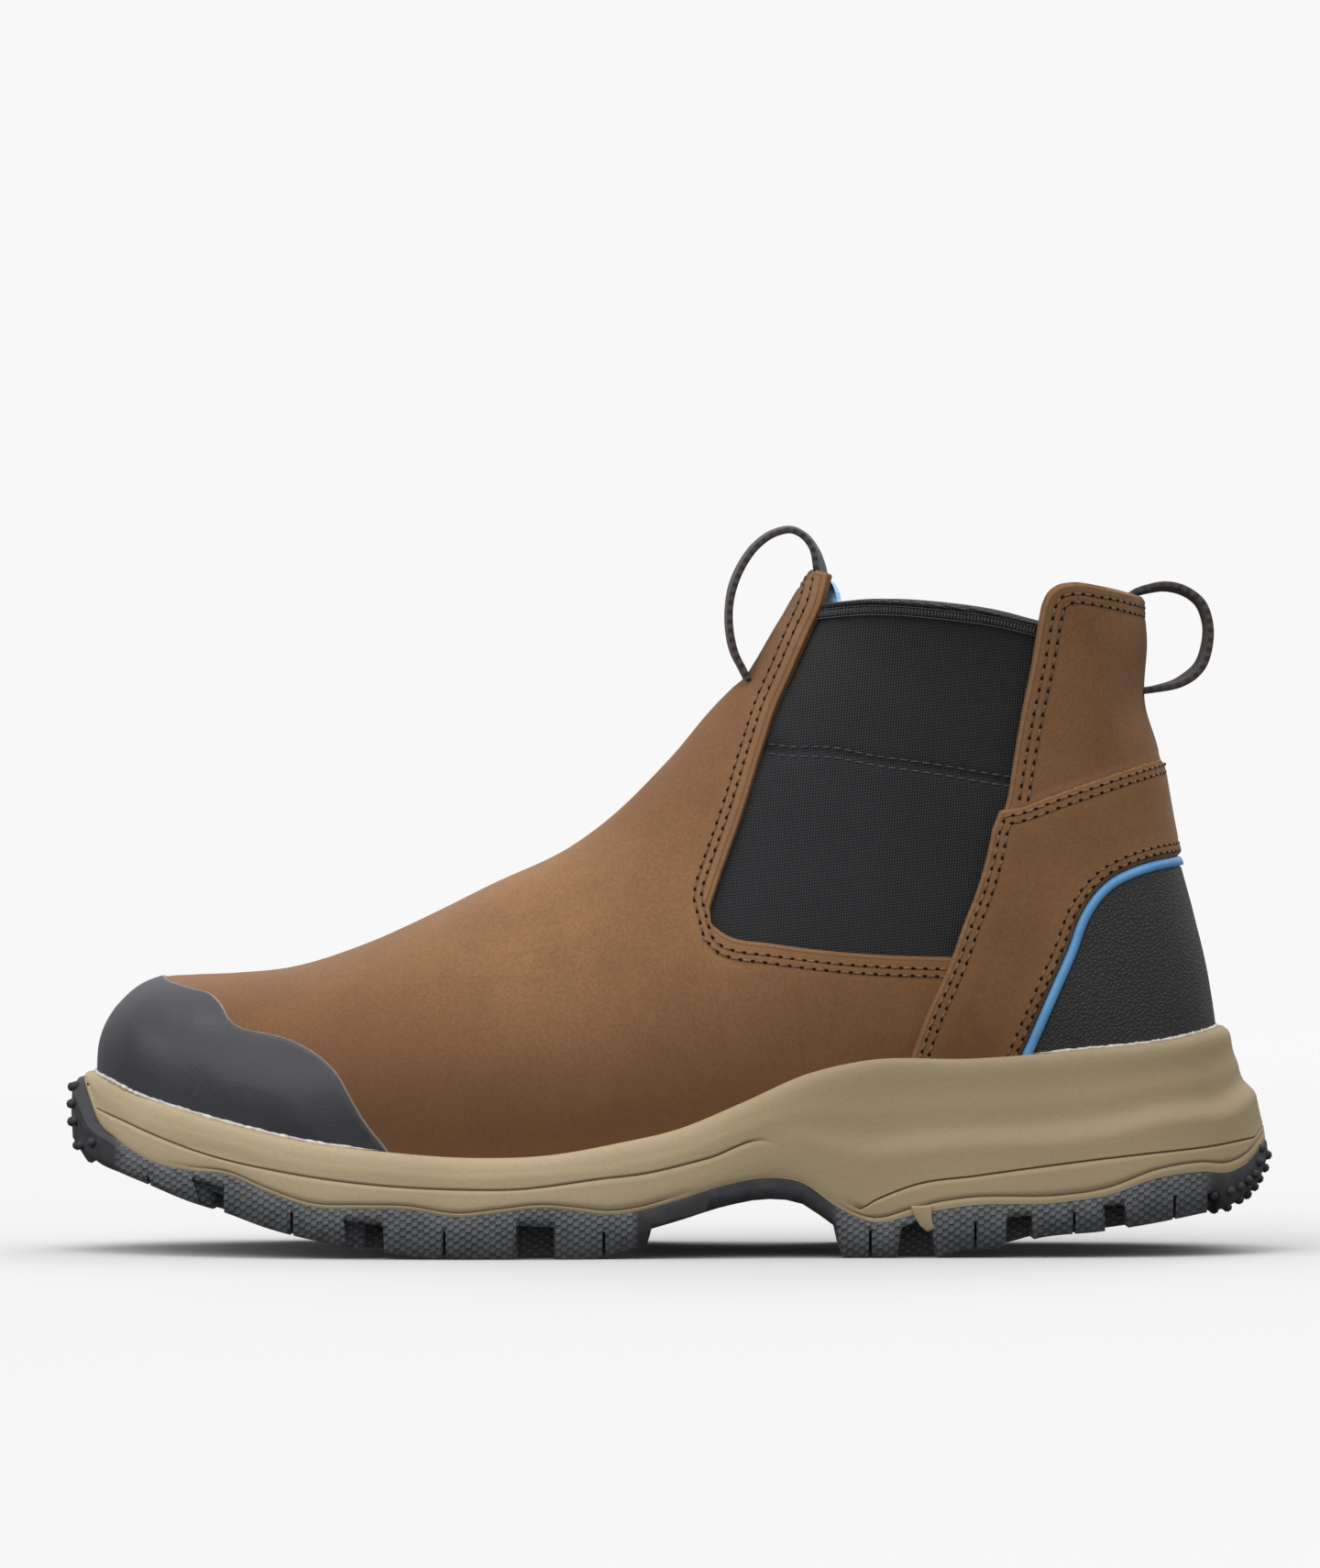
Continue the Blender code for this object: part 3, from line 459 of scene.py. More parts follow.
def panel(name, rows, columns, polygon, rise, finish, skirt=0.0006, reverse=False, step=1):
    """A panel cut from the last's skin. rise gives its height over the form from its distance to its edge."""
    across = [c % LAST_COLUMNS for c in range(columns[0], columns[1] + 1, step)]
    pick = np.ix_(range(rows[0], rows[1] + 1, step), across)
    place, way = SKIN[pick], OUTWARD[pick]
    depth = depth_inside(place, polygon)
    half_step = 0.5001
    best = np.full(depth.shape, half_step)
    new_place, new_way = place.copy(), way.copy()
    for axis, shift in ((0, 1), (0, -1), (1, 1), (1, -1)):
        other = np.roll(depth, shift, axis)
        edge = [slice(None)] * 2
        edge[axis] = 0 if shift == 1 else -1
        with np.errstate(divide="ignore", invalid="ignore"):
            t = np.where((depth > 0) != (other > 0), depth / (depth - other), 9.0)
        t[tuple(edge)] = 9.0
        nearer = t < best
        best = np.where(nearer, t, best)
        nearer, t = nearer[..., None], t[..., None]
        new_place = np.where(nearer, place + t * (np.roll(place, shift, axis) - place), new_place)
        new_way = np.where(nearer, way + t * (np.roll(way, shift, axis) - way), new_way)
    on_edge = best < half_step
    state = np.where(on_edge, 0, np.where(depth > 0, 1, -1))
    way = new_way / np.linalg.norm(new_way, axis=2, keepdims=True)
    level = np.where(on_edge, 0.0, depth)
    height = rise(level, new_place)
    place = new_place + way * height[..., None]
    count = place.shape[1]
    bm = bmesh.new()
    bmesh.ops.create_grid(bm, x_segments=count - 1, y_segments=place.shape[0] - 1, size=1.0)
    edge_layer = bm.verts.layers.float.new("edge")
    number_layer = bm.verts.layers.int.new("number")
    places, levels = place.reshape(-1, 3).tolist(), level.ravel().tolist()
    for number, (vertex, where, value) in enumerate(zip(bm.verts, places, levels)):
        vertex.co = where
        vertex[edge_layer] = value
        vertex[number_layer] = number
    states, middles = state.ravel().tolist(), depth.ravel().tolist()
    doomed, corners = [], []
    for face in bm.faces:
        inside = [states[v[number_layer]] for v in face.verts]
        outside = inside.count(-1)
        if outside == 0 and (1 in inside or sum(middles[v[number_layer]] for v in face.verts) > 0):
            continue
        doomed.append(face)
        if outside == 1 and 1 in inside:
            corners.append([v for v in face.verts if states[v[number_layer]] >= 0])
    for corner in corners:
        bm.faces.new(corner)
    bmesh.ops.delete(bm, geom=doomed, context="FACES")
    ways, heights = way.reshape(-1, 3), height.ravel()
    keep = {v: v[number_layer] for v in bm.verts}
    rim = [e for e in bm.edges if e.is_boundary]
    made = bmesh.ops.extrude_edge_only(bm, edges=rim)["geom"]
    for vertex in (g for g in made if isinstance(g, bmesh.types.BMVert)):
        source = next(e.other_vert(vertex) for e in vertex.link_edges if e.other_vert(vertex) in keep)
        number = keep[source]
        vertex.co = source.co - Vector(ways[number]) * (abs(heights[number]) + skirt) * (-1 if reverse else 1)
        vertex[edge_layer] = 0.0
    bmesh.ops.recalc_face_normals(bm, faces=bm.faces)
    bm.faces.ensure_lookup_table()
    top = max(bm.faces, key=lambda f: f.calc_center_median().y)
    if (top.normal.y < 0) != reverse:
        bmesh.ops.reverse_faces(bm, faces=bm.faces)
    return finished_object(name, bm, finish, sharp=50)


def rounded(height, width):
    """A panel's rise: full height inside, rounded off towards its edge."""

    def rise(level, place):
        t = np.clip(level / width, 0, 1)
        return height * (0.35 + 0.65 * np.sqrt(1 - (1 - t) ** 2))

    return rise


def nubuck(name, dark, middle, light):
    """Brown nubuck: fine nap, soft mottling, painted shade low down, and edges a little lighter, partly worn
    and partly a painted highlight.
    """
    finish = Finish(name, 0.88, Sheen_Weight=0.08, Sheen_Roughness=0.5, Specular_IOR_Level=0.2)
    edge = finish.kept("edge")
    broad = finish.noise(11, 2, 0.4)
    patches = finish.noise(55, 5, 0.65)
    nap = finish.noise(1100, 3, 0.75)
    x, y, z = finish.axes()
    tone = finish.blend(broad.rises(0.3, 0.72) * 0.6 + 0.05, middle, light)
    tone = finish.blend((1 - patches.rises(0.3, 0.62)) * 0.22, tone, dark)
    tone = finish.blend((1 - nap.rises(0.35, 0.65)) * 0.3, tone, dark)
    # Painted shade: the leather is darkened low down, where less of the overhead light falls.
    tone = finish.blend((1 - z.rises(0.032, 0.076)) * 0.7, tone, dark)
    # Lighter towards each panel's edge: partly wear, partly a painted highlight on the rolled edge.
    tone = finish.blend((1 - edge.rises(0.0015, 0.009)) * 0.22, tone, light)
    tone = finish.blend(edge.line_at(0.0011, 0.0005) * 0.55, tone, dark)
    tone = finish.blend((1 - edge.rises(0.0, 0.0005)) * 0.5, tone, dark)
    worn = finish.noise(420, 4, 0.7).rises(0.48, 0.66) * z.rises(0.160, 0.172) * x.rises(-0.035, -0.030)
    tone = finish.blend(worn * 0.5, tone, paint(178, 146, 108))
    finish.colour(tone)
    finish.roughness(0.82 + patches * 0.12)
    finish.relief(nap * 0.05 + patches * 0.06, 0.0009)
    return finish


TAB_TOP = ((0.395, 1.006), (0.383, 0.998), (0.369, 0.986))
GORE_FRONT = ((0.369, 0.986), (0.376, 0.915), (0.387, 0.850), (0.400, 0.770), (0.413, 0.692),
              (0.422, 0.620), (0.440, 0.468), (0.461, 0.310), (0.467, 0.262))  # fmt: skip
GORE_FOOT = ((0.465, 0.226), (0.453, 0.203), (0.414, 0.183), (0.362, 0.166), (0.309, 0.157), (0.269, 0.154))
GORE_REAR = ((0.256, 0.228), (0.241, 0.352), (0.230, 0.462), (0.221, 0.500), (0.218, 0.552),
             (0.209, 0.690), (0.202, 0.778), (0.196, 0.874))  # fmt: skip
HALF = LAST_COLUMNS // 2

leather = nubuck("brown_nubuck", paint(92, 62, 40), paint(131, 94, 63), paint(166, 126, 88))
vamp_edge = np.concatenate([
    side([(0.44, 1.03)]), curve(TAB_TOP), curve(GORE_FRONT), curve(GORE_FOOT),
    side([(0.255, 0.15), (0.285, -0.20), (0.45, -0.42), (0.62, -0.54), (0.75, -0.52), (0.99, -0.30),
          (1.1, -0.30), (1.1, 1.03)]),
])  # fmt: skip


def sewn(height, width, rows):
    """A panel's rise: rounded off at its edge, with a groove where each row of stitches pulls it down."""

    def rise(level, place):
        risen = rounded(height, width)(level, place)
        for row in rows:
            risen = risen - 0.00022 * hump(level, row, 0.00055)
        return risen + 0.00020 * hump(level, (rows[0] + rows[1]) / 2, 0.0006)

    return rise


VAMP_ROWS = (0.0031, 0.0050)


def vamp_rise(level, place):
    """Turned and sewn edges, a soft dent in front of the ankle, and shallow waves over the instep."""
    x, z = place[..., 0], place[..., 2]
    height = sewn(0.0006, 0.0016, VAMP_ROWS)(level, place) - 0.0006
    dent = hump(x, 0.020, 0.024) * hump(z, 0.104, 0.012)
    along = (x - 0.006) * 0.83 - (z - 0.095) * 0.56
    wave = np.sin(along * 210) * hump(along, 0, 0.034) * hump(z, 0.085, 0.028)
    return height - 0.0010 * dent + 0.00022 * wave


vamp = panel("vamp", (0, LAST_ROWS), (-HALF, HALF), vamp_edge, vamp_rise, leather, skirt=0.0010)
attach(vamp, "root")
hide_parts("upper")

thread = speckled("brown_thread", 0.8, (1200, 2, 0.6), (0.3, 0.7), paint(86, 62, 46), paint(146, 118, 94),
                  0.0002, Sheen_Weight=0.2)  # fmt: skip
pinhole = Finish("pinhole_shade", 0.95, Specular_IOR_Level=0.05)
shade = pinhole.noise(900, 2, 0.6)
pinhole.colour(pinhole.blend(shade, paint(30, 17, 10), paint(48, 28, 17)))
pinhole.relief(shade, 0.0001)


BEHIND_TOE = 110
MID_CLEARANCE = 0.0006
STITCH = (0.00115, 0.00024, 0.00020)
STITCH_PITCH = 0.0031
PINHOLE = (0.00062, 0.00040, 0.00020)


def flat_half(first):
    """Half of the last's skin as flat triangles in the side view, with their corners in space."""
    columns = [(first + c) % LAST_COLUMNS for c in range(HALF + 1)]
    rows = list(range(BEHIND_TOE, LAST_ROWS + 1, 2))
    places = SKIN[np.ix_(rows, columns)].reshape(-1, 3)
    ways = OUTWARD[np.ix_(rows, columns)].reshape(-1, 3)
    width = HALF + 1
    triangles = []
    for row in range(len(rows) - 1):
        for column in range(HALF):
            a = row * width + column
            triangles += [(a, a + 1, a + width), (a + 1, a + width + 1, a + width)]
    flat = [Vector((x, 0, z)) for x, y, z in places]
    places = [Vector(p) for p in places]
    ways = [Vector(w) for w in ways]
    return BVHTree.FromPolygons(flat, triangles), triangles, flat, places, ways


FLAT_HALVES = (flat_half(0), flat_half(HALF))


def on_leather(line, half, height):
    """A side view line laid over one half of the leather, at a height above the last."""
    tree, triangles, flat, places, ways = FLAT_HALVES[half]
    spots, normals = [], []
    for x, z in line:
        spot, _, index, _ = tree.find_nearest((x, 0, z))
        corners = triangles[index]
        before = [flat[k] for k in corners]
        spot3 = barycentric_transform(spot, *before, *[places[k] for k in corners])
        way = barycentric_transform(spot, *before, *[ways[k] for k in corners])
        if way.length < 0.2 or way.length > 5:
            way = ways[corners[0]].copy()
        way.normalize()
        spots.append(spot3 + way * height)
        normals.append(way)
    return spots, normals


class Beads:
    """Hundreds of small rounded beads, made a few dozen at a time and gathered in one bmesh."""

    def __init__(self):
        self.whole = bmesh.new()
        self.batch = bmesh.new()
        self.count = 0

    def add(self, place, ahead, up, size, sides=6):
        """One bead, sized along, across and up from its place."""
        across = up.cross(ahead).normalized()
        turn = Matrix((ahead * size[0], across * size[1], up * size[2])).transposed().to_4x4()
        spot = Matrix.Translation(place) @ turn
        bmesh.ops.create_uvsphere(self.batch, u_segments=sides, v_segments=4, radius=1, matrix=spot)
        self.count += 1
        if self.count % 30 == 0:
            self.gather()

    def gather(self):
        part = bpy.data.meshes.new("batch")
        self.batch.to_mesh(part)
        self.whole.from_mesh(part)
        bpy.data.meshes.remove(part)
        self.batch.clear()
        return self.whole


def walk(line, half, height, distances):
    """Numbered places on the leather at distances that a function gives for the line's length."""
    spots, ways = on_leather(line, half, height)
    run = run_along(np.array(spots))
    for number, mark in enumerate(np.interp(distances(run[-1]), run, np.arange(len(spots)))):
        k = min(int(mark), len(spots) - 2)
        ahead = spots[k + 1] - spots[k]
        if ahead.length > 1e-7:
            yield number, spots[k].lerp(spots[k + 1], mark - k), ahead.normalized(), ways[k]


def sew(threads, holes, line, height, pitch=STITCH_PITCH, size=STITCH):
    """Adds a row of stitches along a side view line, and the pinholes between them."""

    def half_pitches(length):
        count = max(1, round(length / pitch))
        return np.arange(2 * count) / (2 * count) * length

    for half in (0, 1):
        for number, place, ahead, way in walk(line, half, height, half_pitches):
            if abs(place.y) < MID_CLEARANCE:
                continue
            up = (way - ahead * way.dot(ahead)).normalized()
            if number % 2:
                threads.add(place + up * 0.00006, ahead, up, size)
            elif holes:
                holes.add(place + up * 0.00003, ahead, up, PINHOLE)


def sewn_rows(name, lines, height):
    """Rows of brown thread and their pinholes as two pieces."""
    threads, holes = Beads(), Beads()
    for line in lines:
        sew(threads, holes, line, height)
    for piece, beads, finish in (("_thread", threads, thread), ("_pinholes", holes, pinhole)):
        obj = finished_object(name + piece, beads.gather(), finish, sharp=80)
        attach(obj, "root")


front_and_foot = np.concatenate([curve(GORE_FRONT)[:-3], curve(GORE_FOOT)[3:]])
sewn_rows("gore_edge", [moved(front_and_foot, row) for row in VAMP_ROWS], 0.00002)


# Toe cap
# A moulded rubber cap is cemented over the toe. Its rear edge runs in waves from the top of the toe down
# to the sole, thinned to a fine lip that is painted lighter: partly a line of adhesive, partly a painted
# highlight.
CAP_EDGE = (
    (0.936, 0.190), (0.927, 0.120), (0.9195, 0.104), (0.898, 0.084), (0.8765, 0.068), (0.8683, 0.047),
    (0.862, 0.019), (0.8545, 0.004), (0.833, -0.010), (0.817, -0.019), (0.799, -0.038), (0.785, -0.061),
    (0.772, -0.094), (0.761, -0.142), (0.7505, -0.189), (0.743, -0.216), (0.729, -0.262), (0.715, -0.330),
)  # fmt: skip
CAP_ROWS = (0, 190)
cap_rubber = Finish("toe_cap_rubber", 0.42, Specular_IOR_Level=0.42)
edge = cap_rubber.kept("edge")
grain = cap_rubber.cells(1500)
haze = cap_rubber.noise(26, 4, 0.6)
scuff = cap_rubber.noise(220, 3, 0.7)
tone = cap_rubber.blend(haze.rises(0.3, 0.7), paint(44, 45, 51), paint(54, 55, 61))
tone = cap_rubber.blend(scuff.rises(0.62, 0.8) * 0.25, tone, paint(96, 95, 97))
# Painted lighter along the rear edge: partly a line of adhesive, partly a painted highlight on the lip.
tone = cap_rubber.blend((1 - edge.rises(0.0001, 0.0007)) * 0.7, tone, paint(150, 136, 122))
cap_rubber.colour(tone)
cap_rubber.roughness(0.36 + haze * 0.10)
cap_rubber.relief(grain * 0.05 + haze * 0.03, 0.0005)
cap_outline = np.concatenate([curve(CAP_EDGE), side([(1.1, -0.33), (1.1, 0.19)])])


def cap_rise(level, place):
    """A thin lip at the rear edge, thickening towards the toe and down the side."""
    t = np.clip(level / 0.0008, 0, 1)
    return 0.00055 * np.sqrt(1 - (1 - t) ** 2) + 0.0008 * np.clip(level / 0.014, 0, 1) ** 1.5


toe_cap = panel("toe_cap", CAP_ROWS, (-HALF, HALF), cap_outline, cap_rise, cap_rubber)
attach(toe_cap, "root")
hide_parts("toe_cap")


# Elastic gores
# A panel of ribbed black elastic fills the window on each side, sewn behind the leather. A woven tape is
# folded over its top edge.
GORE_TOP = ((0.392, 0.920), (0.336, 0.928), (0.283, 0.918), (0.230, 0.900), (0.190, 0.876))
GORE_SEAM = ((0.4215, 0.622), (0.4072, 0.617), (0.3722, 0.610), (0.3303, 0.588), (0.2830, 0.570),
             (0.2305, 0.547), (0.2160, 0.541))  # fmt: skip
SEAM_SPACING = 0.0024
BINDING_HEIGHT = 0.0043
ROLL_HEIGHT = 0.0016
RIB = 0.00066
TAPE_RIB = 0.0009
KNIT_ROW = 0.00074
LEAN = 0.07
GORE_DEPTH = 0.0022
GORE_ROWS = (150, LAST_ROWS)
TUCKED = 0.004
TAPE_LINES = (0.0018, 0.0041)
TICK_LEVEL = 0.0029
TICK_PITCH = 0.00085


def ribbed(name, dark, light, pitch):
    """Elastic with fine ribs that lean a little with the shaft."""
    finish = Finish(name, 0.8, Sheen_Weight=0.08, Specular_IOR_Level=0.25)
    x, y, z = finish.axes()
    across = x + z * LEAN
    rib = (across * (2 * math.pi / pitch)).sine() * 0.5 + 0.5
    knit = (z * (2 * math.pi / KNIT_ROW) + across * 900).sine() * 0.5 + 0.5
    fuzz = finish.noise(2200, 2, 0.7)
    cloud = finish.noise(22, 3, 0.5)
    weave = rib * 0.45 + knit * 0.2 + fuzz * 0.5 - 0.1
    tone = finish.blend(weave, dark, light)
    tone = finish.blend(cloud.rises(0.35, 0.7) * 0.25, tone, light)
    finish.colour(tone)
    finish.relief(rib + knit * 0.4 + fuzz * 0.3, 0.0003)
    return finish


def seam_level(x):
    """The height of the gore's cross seam at a place along the boot."""
    line = curve(GORE_SEAM)[::-1]
    return np.interp(x, line[:, 0], line[:, 1])


def gore_rise(level, place):
    """The elastic lies behind the leather, and dips between its two rows of cross stitches."""
    x, z = place[..., 0], place[..., 2]
    below = seam_level(x) - z
    dip = hump(below, SEAM_SPACING / 2, 0.0016)
    swell = hump(below, -0.011, 0.008) + hump(below, 0.013, 0.008)
    pinch = hump(x, seam_front, 0.0035) * hump(below, 0.001, 0.003)
    return -GORE_DEPTH - 0.0005 * dip + 0.0003 * swell - 0.0008 * pinch


def tape_rise(level, place):
    """The tape is rolled over the top edge, and lies flat below the roll."""
    line = curve(GORE_TOP)[::-1]
    below = np.interp(place[..., 0], line[:, 0], line[:, 1]) - place[..., 2]
    roll = np.sqrt(np.clip(1 - ((below - ROLL_HEIGHT / 2) / (ROLL_HEIGHT / 2)) ** 2, 0, 1))
    flat = eased(below, 0.0015, 0.0021) * eased(level, -0.0001, 0.0005)
    return -GORE_DEPTH + np.maximum(0.0015 * roll, 0.0009 * flat)


seam_front = side(GORE_SEAM[1:2])[0, 0]
elastic = ribbed("black_elastic", paint(24, 24, 26), paint(60, 61, 64), RIB)
tape = ribbed("binding_tape", paint(30, 30, 32), paint(62, 62, 65), TAPE_RIB)
grey_thread = Finish("grey_thread", 0.8, Sheen_Weight=0.2)
twist = grey_thread.noise(1500, 2, 0.6)
grey_thread.colour(grey_thread.blend(twist, paint(54, 55, 58), paint(92, 93, 96)))
grey_thread.relief(twist, 0.0002)
gore_top = curve(GORE_TOP)
gore_edge = np.concatenate([
    gore_top[::-1] - (0, 0.003), moved(curve(GORE_FRONT)[8:], TUCKED), moved(curve(GORE_FOOT), TUCKED),
    moved(curve(GORE_REAR), TUCKED),
])  # fmt: skip
tape_edge = np.concatenate([gore_top, (gore_top - (0, BINDING_HEIGHT))[::-1]])
for name, columns in (("outer", (1, HALF - 1)), ("inner", (HALF + 1, LAST_COLUMNS - 1))):
    gore = panel("gore_" + name, GORE_ROWS, columns, gore_edge, gore_rise, elastic, skirt=-0.0010)
    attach(gore, "root")
    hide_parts("gore_" + name)
    binding = panel("gore_binding_" + name, GORE_ROWS, columns, tape_edge, tape_rise, tape)
    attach(binding, "root")
    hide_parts("gore_binding_" + name)

seam, ticks = Beads(), Beads()
for drop in (0, SEAM_SPACING):
    sew(seam, None, curve(GORE_SEAM) - (0, drop), -0.0001 - GORE_DEPTH, 0.0030, (0.0012, 0.0002, 0.0002))
for drop in TAPE_LINES:
    sew(seam, None, gore_top[2:-1] - (0, drop), 0.0009 - GORE_DEPTH, 0.0007, (0.0006, 0.00014, 0.00016))


def ticks_along(length):
    return np.arange(0.001, length - 0.001, TICK_PITCH)


for half in (0, 1):
    level = gore_top[2:-1] - (0, TICK_LEVEL)
    for _, place, ahead, way in walk(level, half, 0.0010 - GORE_DEPTH, ticks_along):
        ticks.add(place, way.cross(ahead), way, (0.00085, 0.00019, 0.00016))
for name, beads in (("gore_seam_thread", seam), ("binding_stitches", ticks)):
    obj = finished_object(name, beads.gather(), grey_thread, sharp=80)
    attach(obj, "root")


# Back panel, heel band, piping and heel counter
# Over the back of the leather lie a panel between the gores, a band that runs round the heel and down
# each side, a blue strip under the band, and a black counter that the strip edges.
COLLAR_REAR = ((0.193, 0.914), (0.188, 0.940), (0.180, 0.956), (0.169, 0.962), (0.142, 0.954), (0.104, 0.934),
               (0.070, 0.928))  # fmt: skip
BAND_TOP = ((0.228, 0.470), (0.213, 0.478), (0.182, 0.508), (0.154, 0.534), (0.125, 0.560), (0.091, 0.586),
            (0.050, 0.610))  # fmt: skip
BAND_FRONT = ((0.234, 0.430), (0.238, 0.378), (0.246, 0.304), (0.258, 0.222), (0.268, 0.148), (0.277, 0.094),
              (0.286, 0.044), (0.302, -0.066), (0.318, -0.180))  # fmt: skip
PIPE_TOP = ((0.050, 0.376), (0.074, 0.368), (0.100, 0.358), (0.123, 0.340), (0.140, 0.316), (0.151, 0.288),
            (0.161, 0.248), (0.173, 0.166), (0.186, 0.088), (0.199, 0.010), (0.211, -0.060),
            (0.228, -0.160))  # fmt: skip
PIPE_WIDTH = 0.0026
PIPE_RISE = 0.0011
REAR_COLUMNS = (20, LAST_COLUMNS - 20)
REAR_ROWS = (200, LAST_ROWS)
FAR_TUCK = 0.0030
BACK_ROWS = (0.0028, 0.0050)
BAND_HEIGHT = 0.0023
BAND_GROOVES = (0.0018, 0.0034)
BAND_ROWS = (0.0019, 0.0038)
BAND_FOOT_ROWS = (0.0016, 0.0034)
BACK_END = side([(0.1, 0)])[0, 0]
side_and_collar = np.concatenate([curve(GORE_REAR[3:]), curve(COLLAR_REAR)])
under_band = curve(BAND_TOP)[::-1] - (0, 0.004)
back_edge = np.concatenate([side_and_collar, side([(0.0, 0.92), (0.0, 0.58)]), under_band])


def back_rise(level, place):
    """Sewn edges, a hollow where the loop's lower end pulls the leather in, and a swell over it."""
    x, z = place[..., 0], place[..., 2]
    at_back = 1 - eased(x, -0.1240, -0.1060)
    pulled = 0.0006 * hump(z, 0.1560, 0.0060) - 0.0019 * hump(z, 0.1395, 0.0085)
    return sewn(0.0014, 0.0014, BACK_ROWS)(level, place) + pulled * at_back


def tuck_far_corner(obj):
    """Sets the inner half's top front corner back, so it stays behind the outer half in the side view."""
    for vertex in obj.data.vertices:
        if vertex.co.y < 0:
            vertex.co.x -= FAR_TUCK * eased(vertex.co.z, 0.148, 0.164) * eased(vertex.co.x, -0.122, -0.104)


def inside_rows(line, outline, row, kept):
    """The part of a row of stitches that stays its distance inside the outline, and what is kept anyway."""
    clear = depth_inside(np.stack([line[:, 0], line[:, 0], line[:, 1]], axis=1), outline)
    return line[(clear > row - 0.0003) | kept]


back_panel = panel("back_panel", REAR_ROWS, REAR_COLUMNS, back_edge, back_rise, leather)
tuck_far_corner(back_panel)
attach(back_panel, "root")
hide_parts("back_panel")
back_lines = []
for row in BACK_ROWS:
    line = moved(side_and_collar, row)
    back_lines.append(inside_rows(line, back_edge, row, line[:, 0] < BACK_END))
sewn_rows("back_panel", back_lines, 0.00145)
tuck_far_corner(bpy.data.objects["back_panel_thread"])
tuck_far_corner(bpy.data.objects["back_panel_pinholes"])

top_and_front = np.concatenate([curve(BAND_TOP)[::-1], curve(BAND_FRONT)])
band_edge = np.concatenate([top_and_front, curve(PIPE_TOP)[::-1], side([(0.0, 0.38), (0.0, 0.62)])])
band_rise = sewn(BAND_HEIGHT, 0.0014, BAND_GROOVES)
band = panel("quarter_band", REAR_ROWS, REAR_COLUMNS, band_edge, band_rise, leather)
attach(band, "root")
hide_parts("quarter_band")
band_lines = []
for row in BAND_ROWS:
    line = moved(top_and_front, -row)
    band_lines.append(inside_rows(line, band_edge, row, line[:, 1] < SOLE_HEIGHT + 0.004))
band_lines += [moved(curve(PIPE_TOP), row) for row in BAND_FOOT_ROWS]
sewn_rows("quarter_band", band_lines, BAND_HEIGHT)

blue = speckled("blue_piping", 0.42, (60, 2, 0.5), (0.3, 0.7), paint(80, 144, 206), paint(112, 174, 228),
                0.00004, Specular_IOR_Level=0.5)  # fmt: skip


def tube(name, sides, count, corner, finish):
    """A closed skin round a path, whose corners a function places from their row and their turn."""
    bm = bmesh.new()
    bmesh.ops.create_grid(bm, x_segments=sides, y_segments=count - 1, size=1.0)
    for vertex in bm.verts:
        vertex.co = corner(round((vertex.co.y + 1) / 2 * (count - 1)), math.pi * (vertex.co.x + 1))
    bmesh.ops.remove_doubles(bm, verts=bm.verts, dist=1e-7)
    bmesh.ops.recalc_face_normals(bm, faces=bm.faces)
    return finished_object(name, bm, finish, sharp=80)


pipe_line = moved(curve(PIPE_TOP, 14), -PIPE_WIDTH * 0.45)[::-1]
pipe_outer, pipe_inner = (on_leather(pipe_line, half, PIPE_RISE) for half in (0, 1))
pipe_spots, pipe_ways = (outer[::-1] + inner[1:] for outer, inner in zip(pipe_outer, pipe_inner))


def pipe_corner(row, turn):
    """A corner of the blue strip, which runs down both halves and round the back."""
    ahead = (pipe_spots[min(row + 1, len(pipe_spots) - 1)] - pipe_spots[max(row - 1, 0)]).normalized()
    up = (pipe_ways[row] - ahead * pipe_ways[row].dot(ahead)).normalized()
    across = up.cross(ahead) * (math.cos(turn) * PIPE_WIDTH / 2)
    return pipe_spots[row] + across + up * (math.sin(turn) * PIPE_RISE)


strip = tube("heel_piping", 12, len(pipe_spots), pipe_corner, blue)
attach(strip, "root")
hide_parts("heel_piping")

pebbled = Finish("black_pebbled_leather", 0.5, Specular_IOR_Level=0.45)
pebble = pebbled.cells(950, "DISTANCE_TO_EDGE")
fine = pebbled.noise(900, 3, 0.6)
# Painted shade: the hollows between the pebbles are darkened; they are also rougher.
valley = 1 - pebble.rises(0.0, 0.14)
pebbled.colour(pebbled.blend(valley * 0.5, paint(50, 49, 50), paint(34, 33, 34)))
pebbled.roughness(0.5 + valley * 0.25)
pebbled.relief(pebble.rises(0.0, 0.3) + fine * 0.3, 0.00016)
under_pipe = moved(curve(PIPE_TOP), -PIPE_WIDTH * 0.6)
counter_edge = np.concatenate([under_pipe, side([(0.20, -0.30), (0.0, -0.30), (0.0, 0.35)])])
counter = panel("heel_counter", REAR_ROWS, REAR_COLUMNS, counter_edge, rounded(0.0013, 0.001), pebbled)
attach(counter, "root")
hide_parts("heel_counter")


# Lining
# Inside, a blue spacer mesh lines the shaft down to the insole. It follows the collar and both gores and
# stops a little below their edges.
lining_mesh = speckled("blue_lining_mesh", 0.85, (900,), (0.1, 0.55), paint(104, 160, 212),
                       paint(168, 212, 246), 0.0002, Sheen_Weight=0.2)  # fmt: skip
LINING_DEPTH = 0.0045
lining_edge = np.concatenate([
    side([(0.44, 1.03)]), curve(TAB_TOP)[:-3] - (0, 0.002),
    side([(0.3775, 0.990), (0.3735, 0.976), (0.3705, 0.960), (0.3685, 0.942), (0.3675, 0.922)]),
    gore_top[16:-20] - (0, 0.0015), side([(0.215, 0.84), (0.182, 0.84)]),
    moved(curve(COLLAR_REAR)[16:], 0.003), side([(0.0, 0.91), (0.0, -0.6), (1.1, -0.6), (1.1, 1.03)]),
])  # fmt: skip


def lining_rise(level, place):
    return np.full(level.shape, -LINING_DEPTH)


lining = panel("lining", (30, LAST_ROWS), (-HALF, HALF), lining_edge, lining_rise, lining_mesh,
               skirt=-0.0030, reverse=True, step=2)  # fmt: skip
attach(lining, "root")


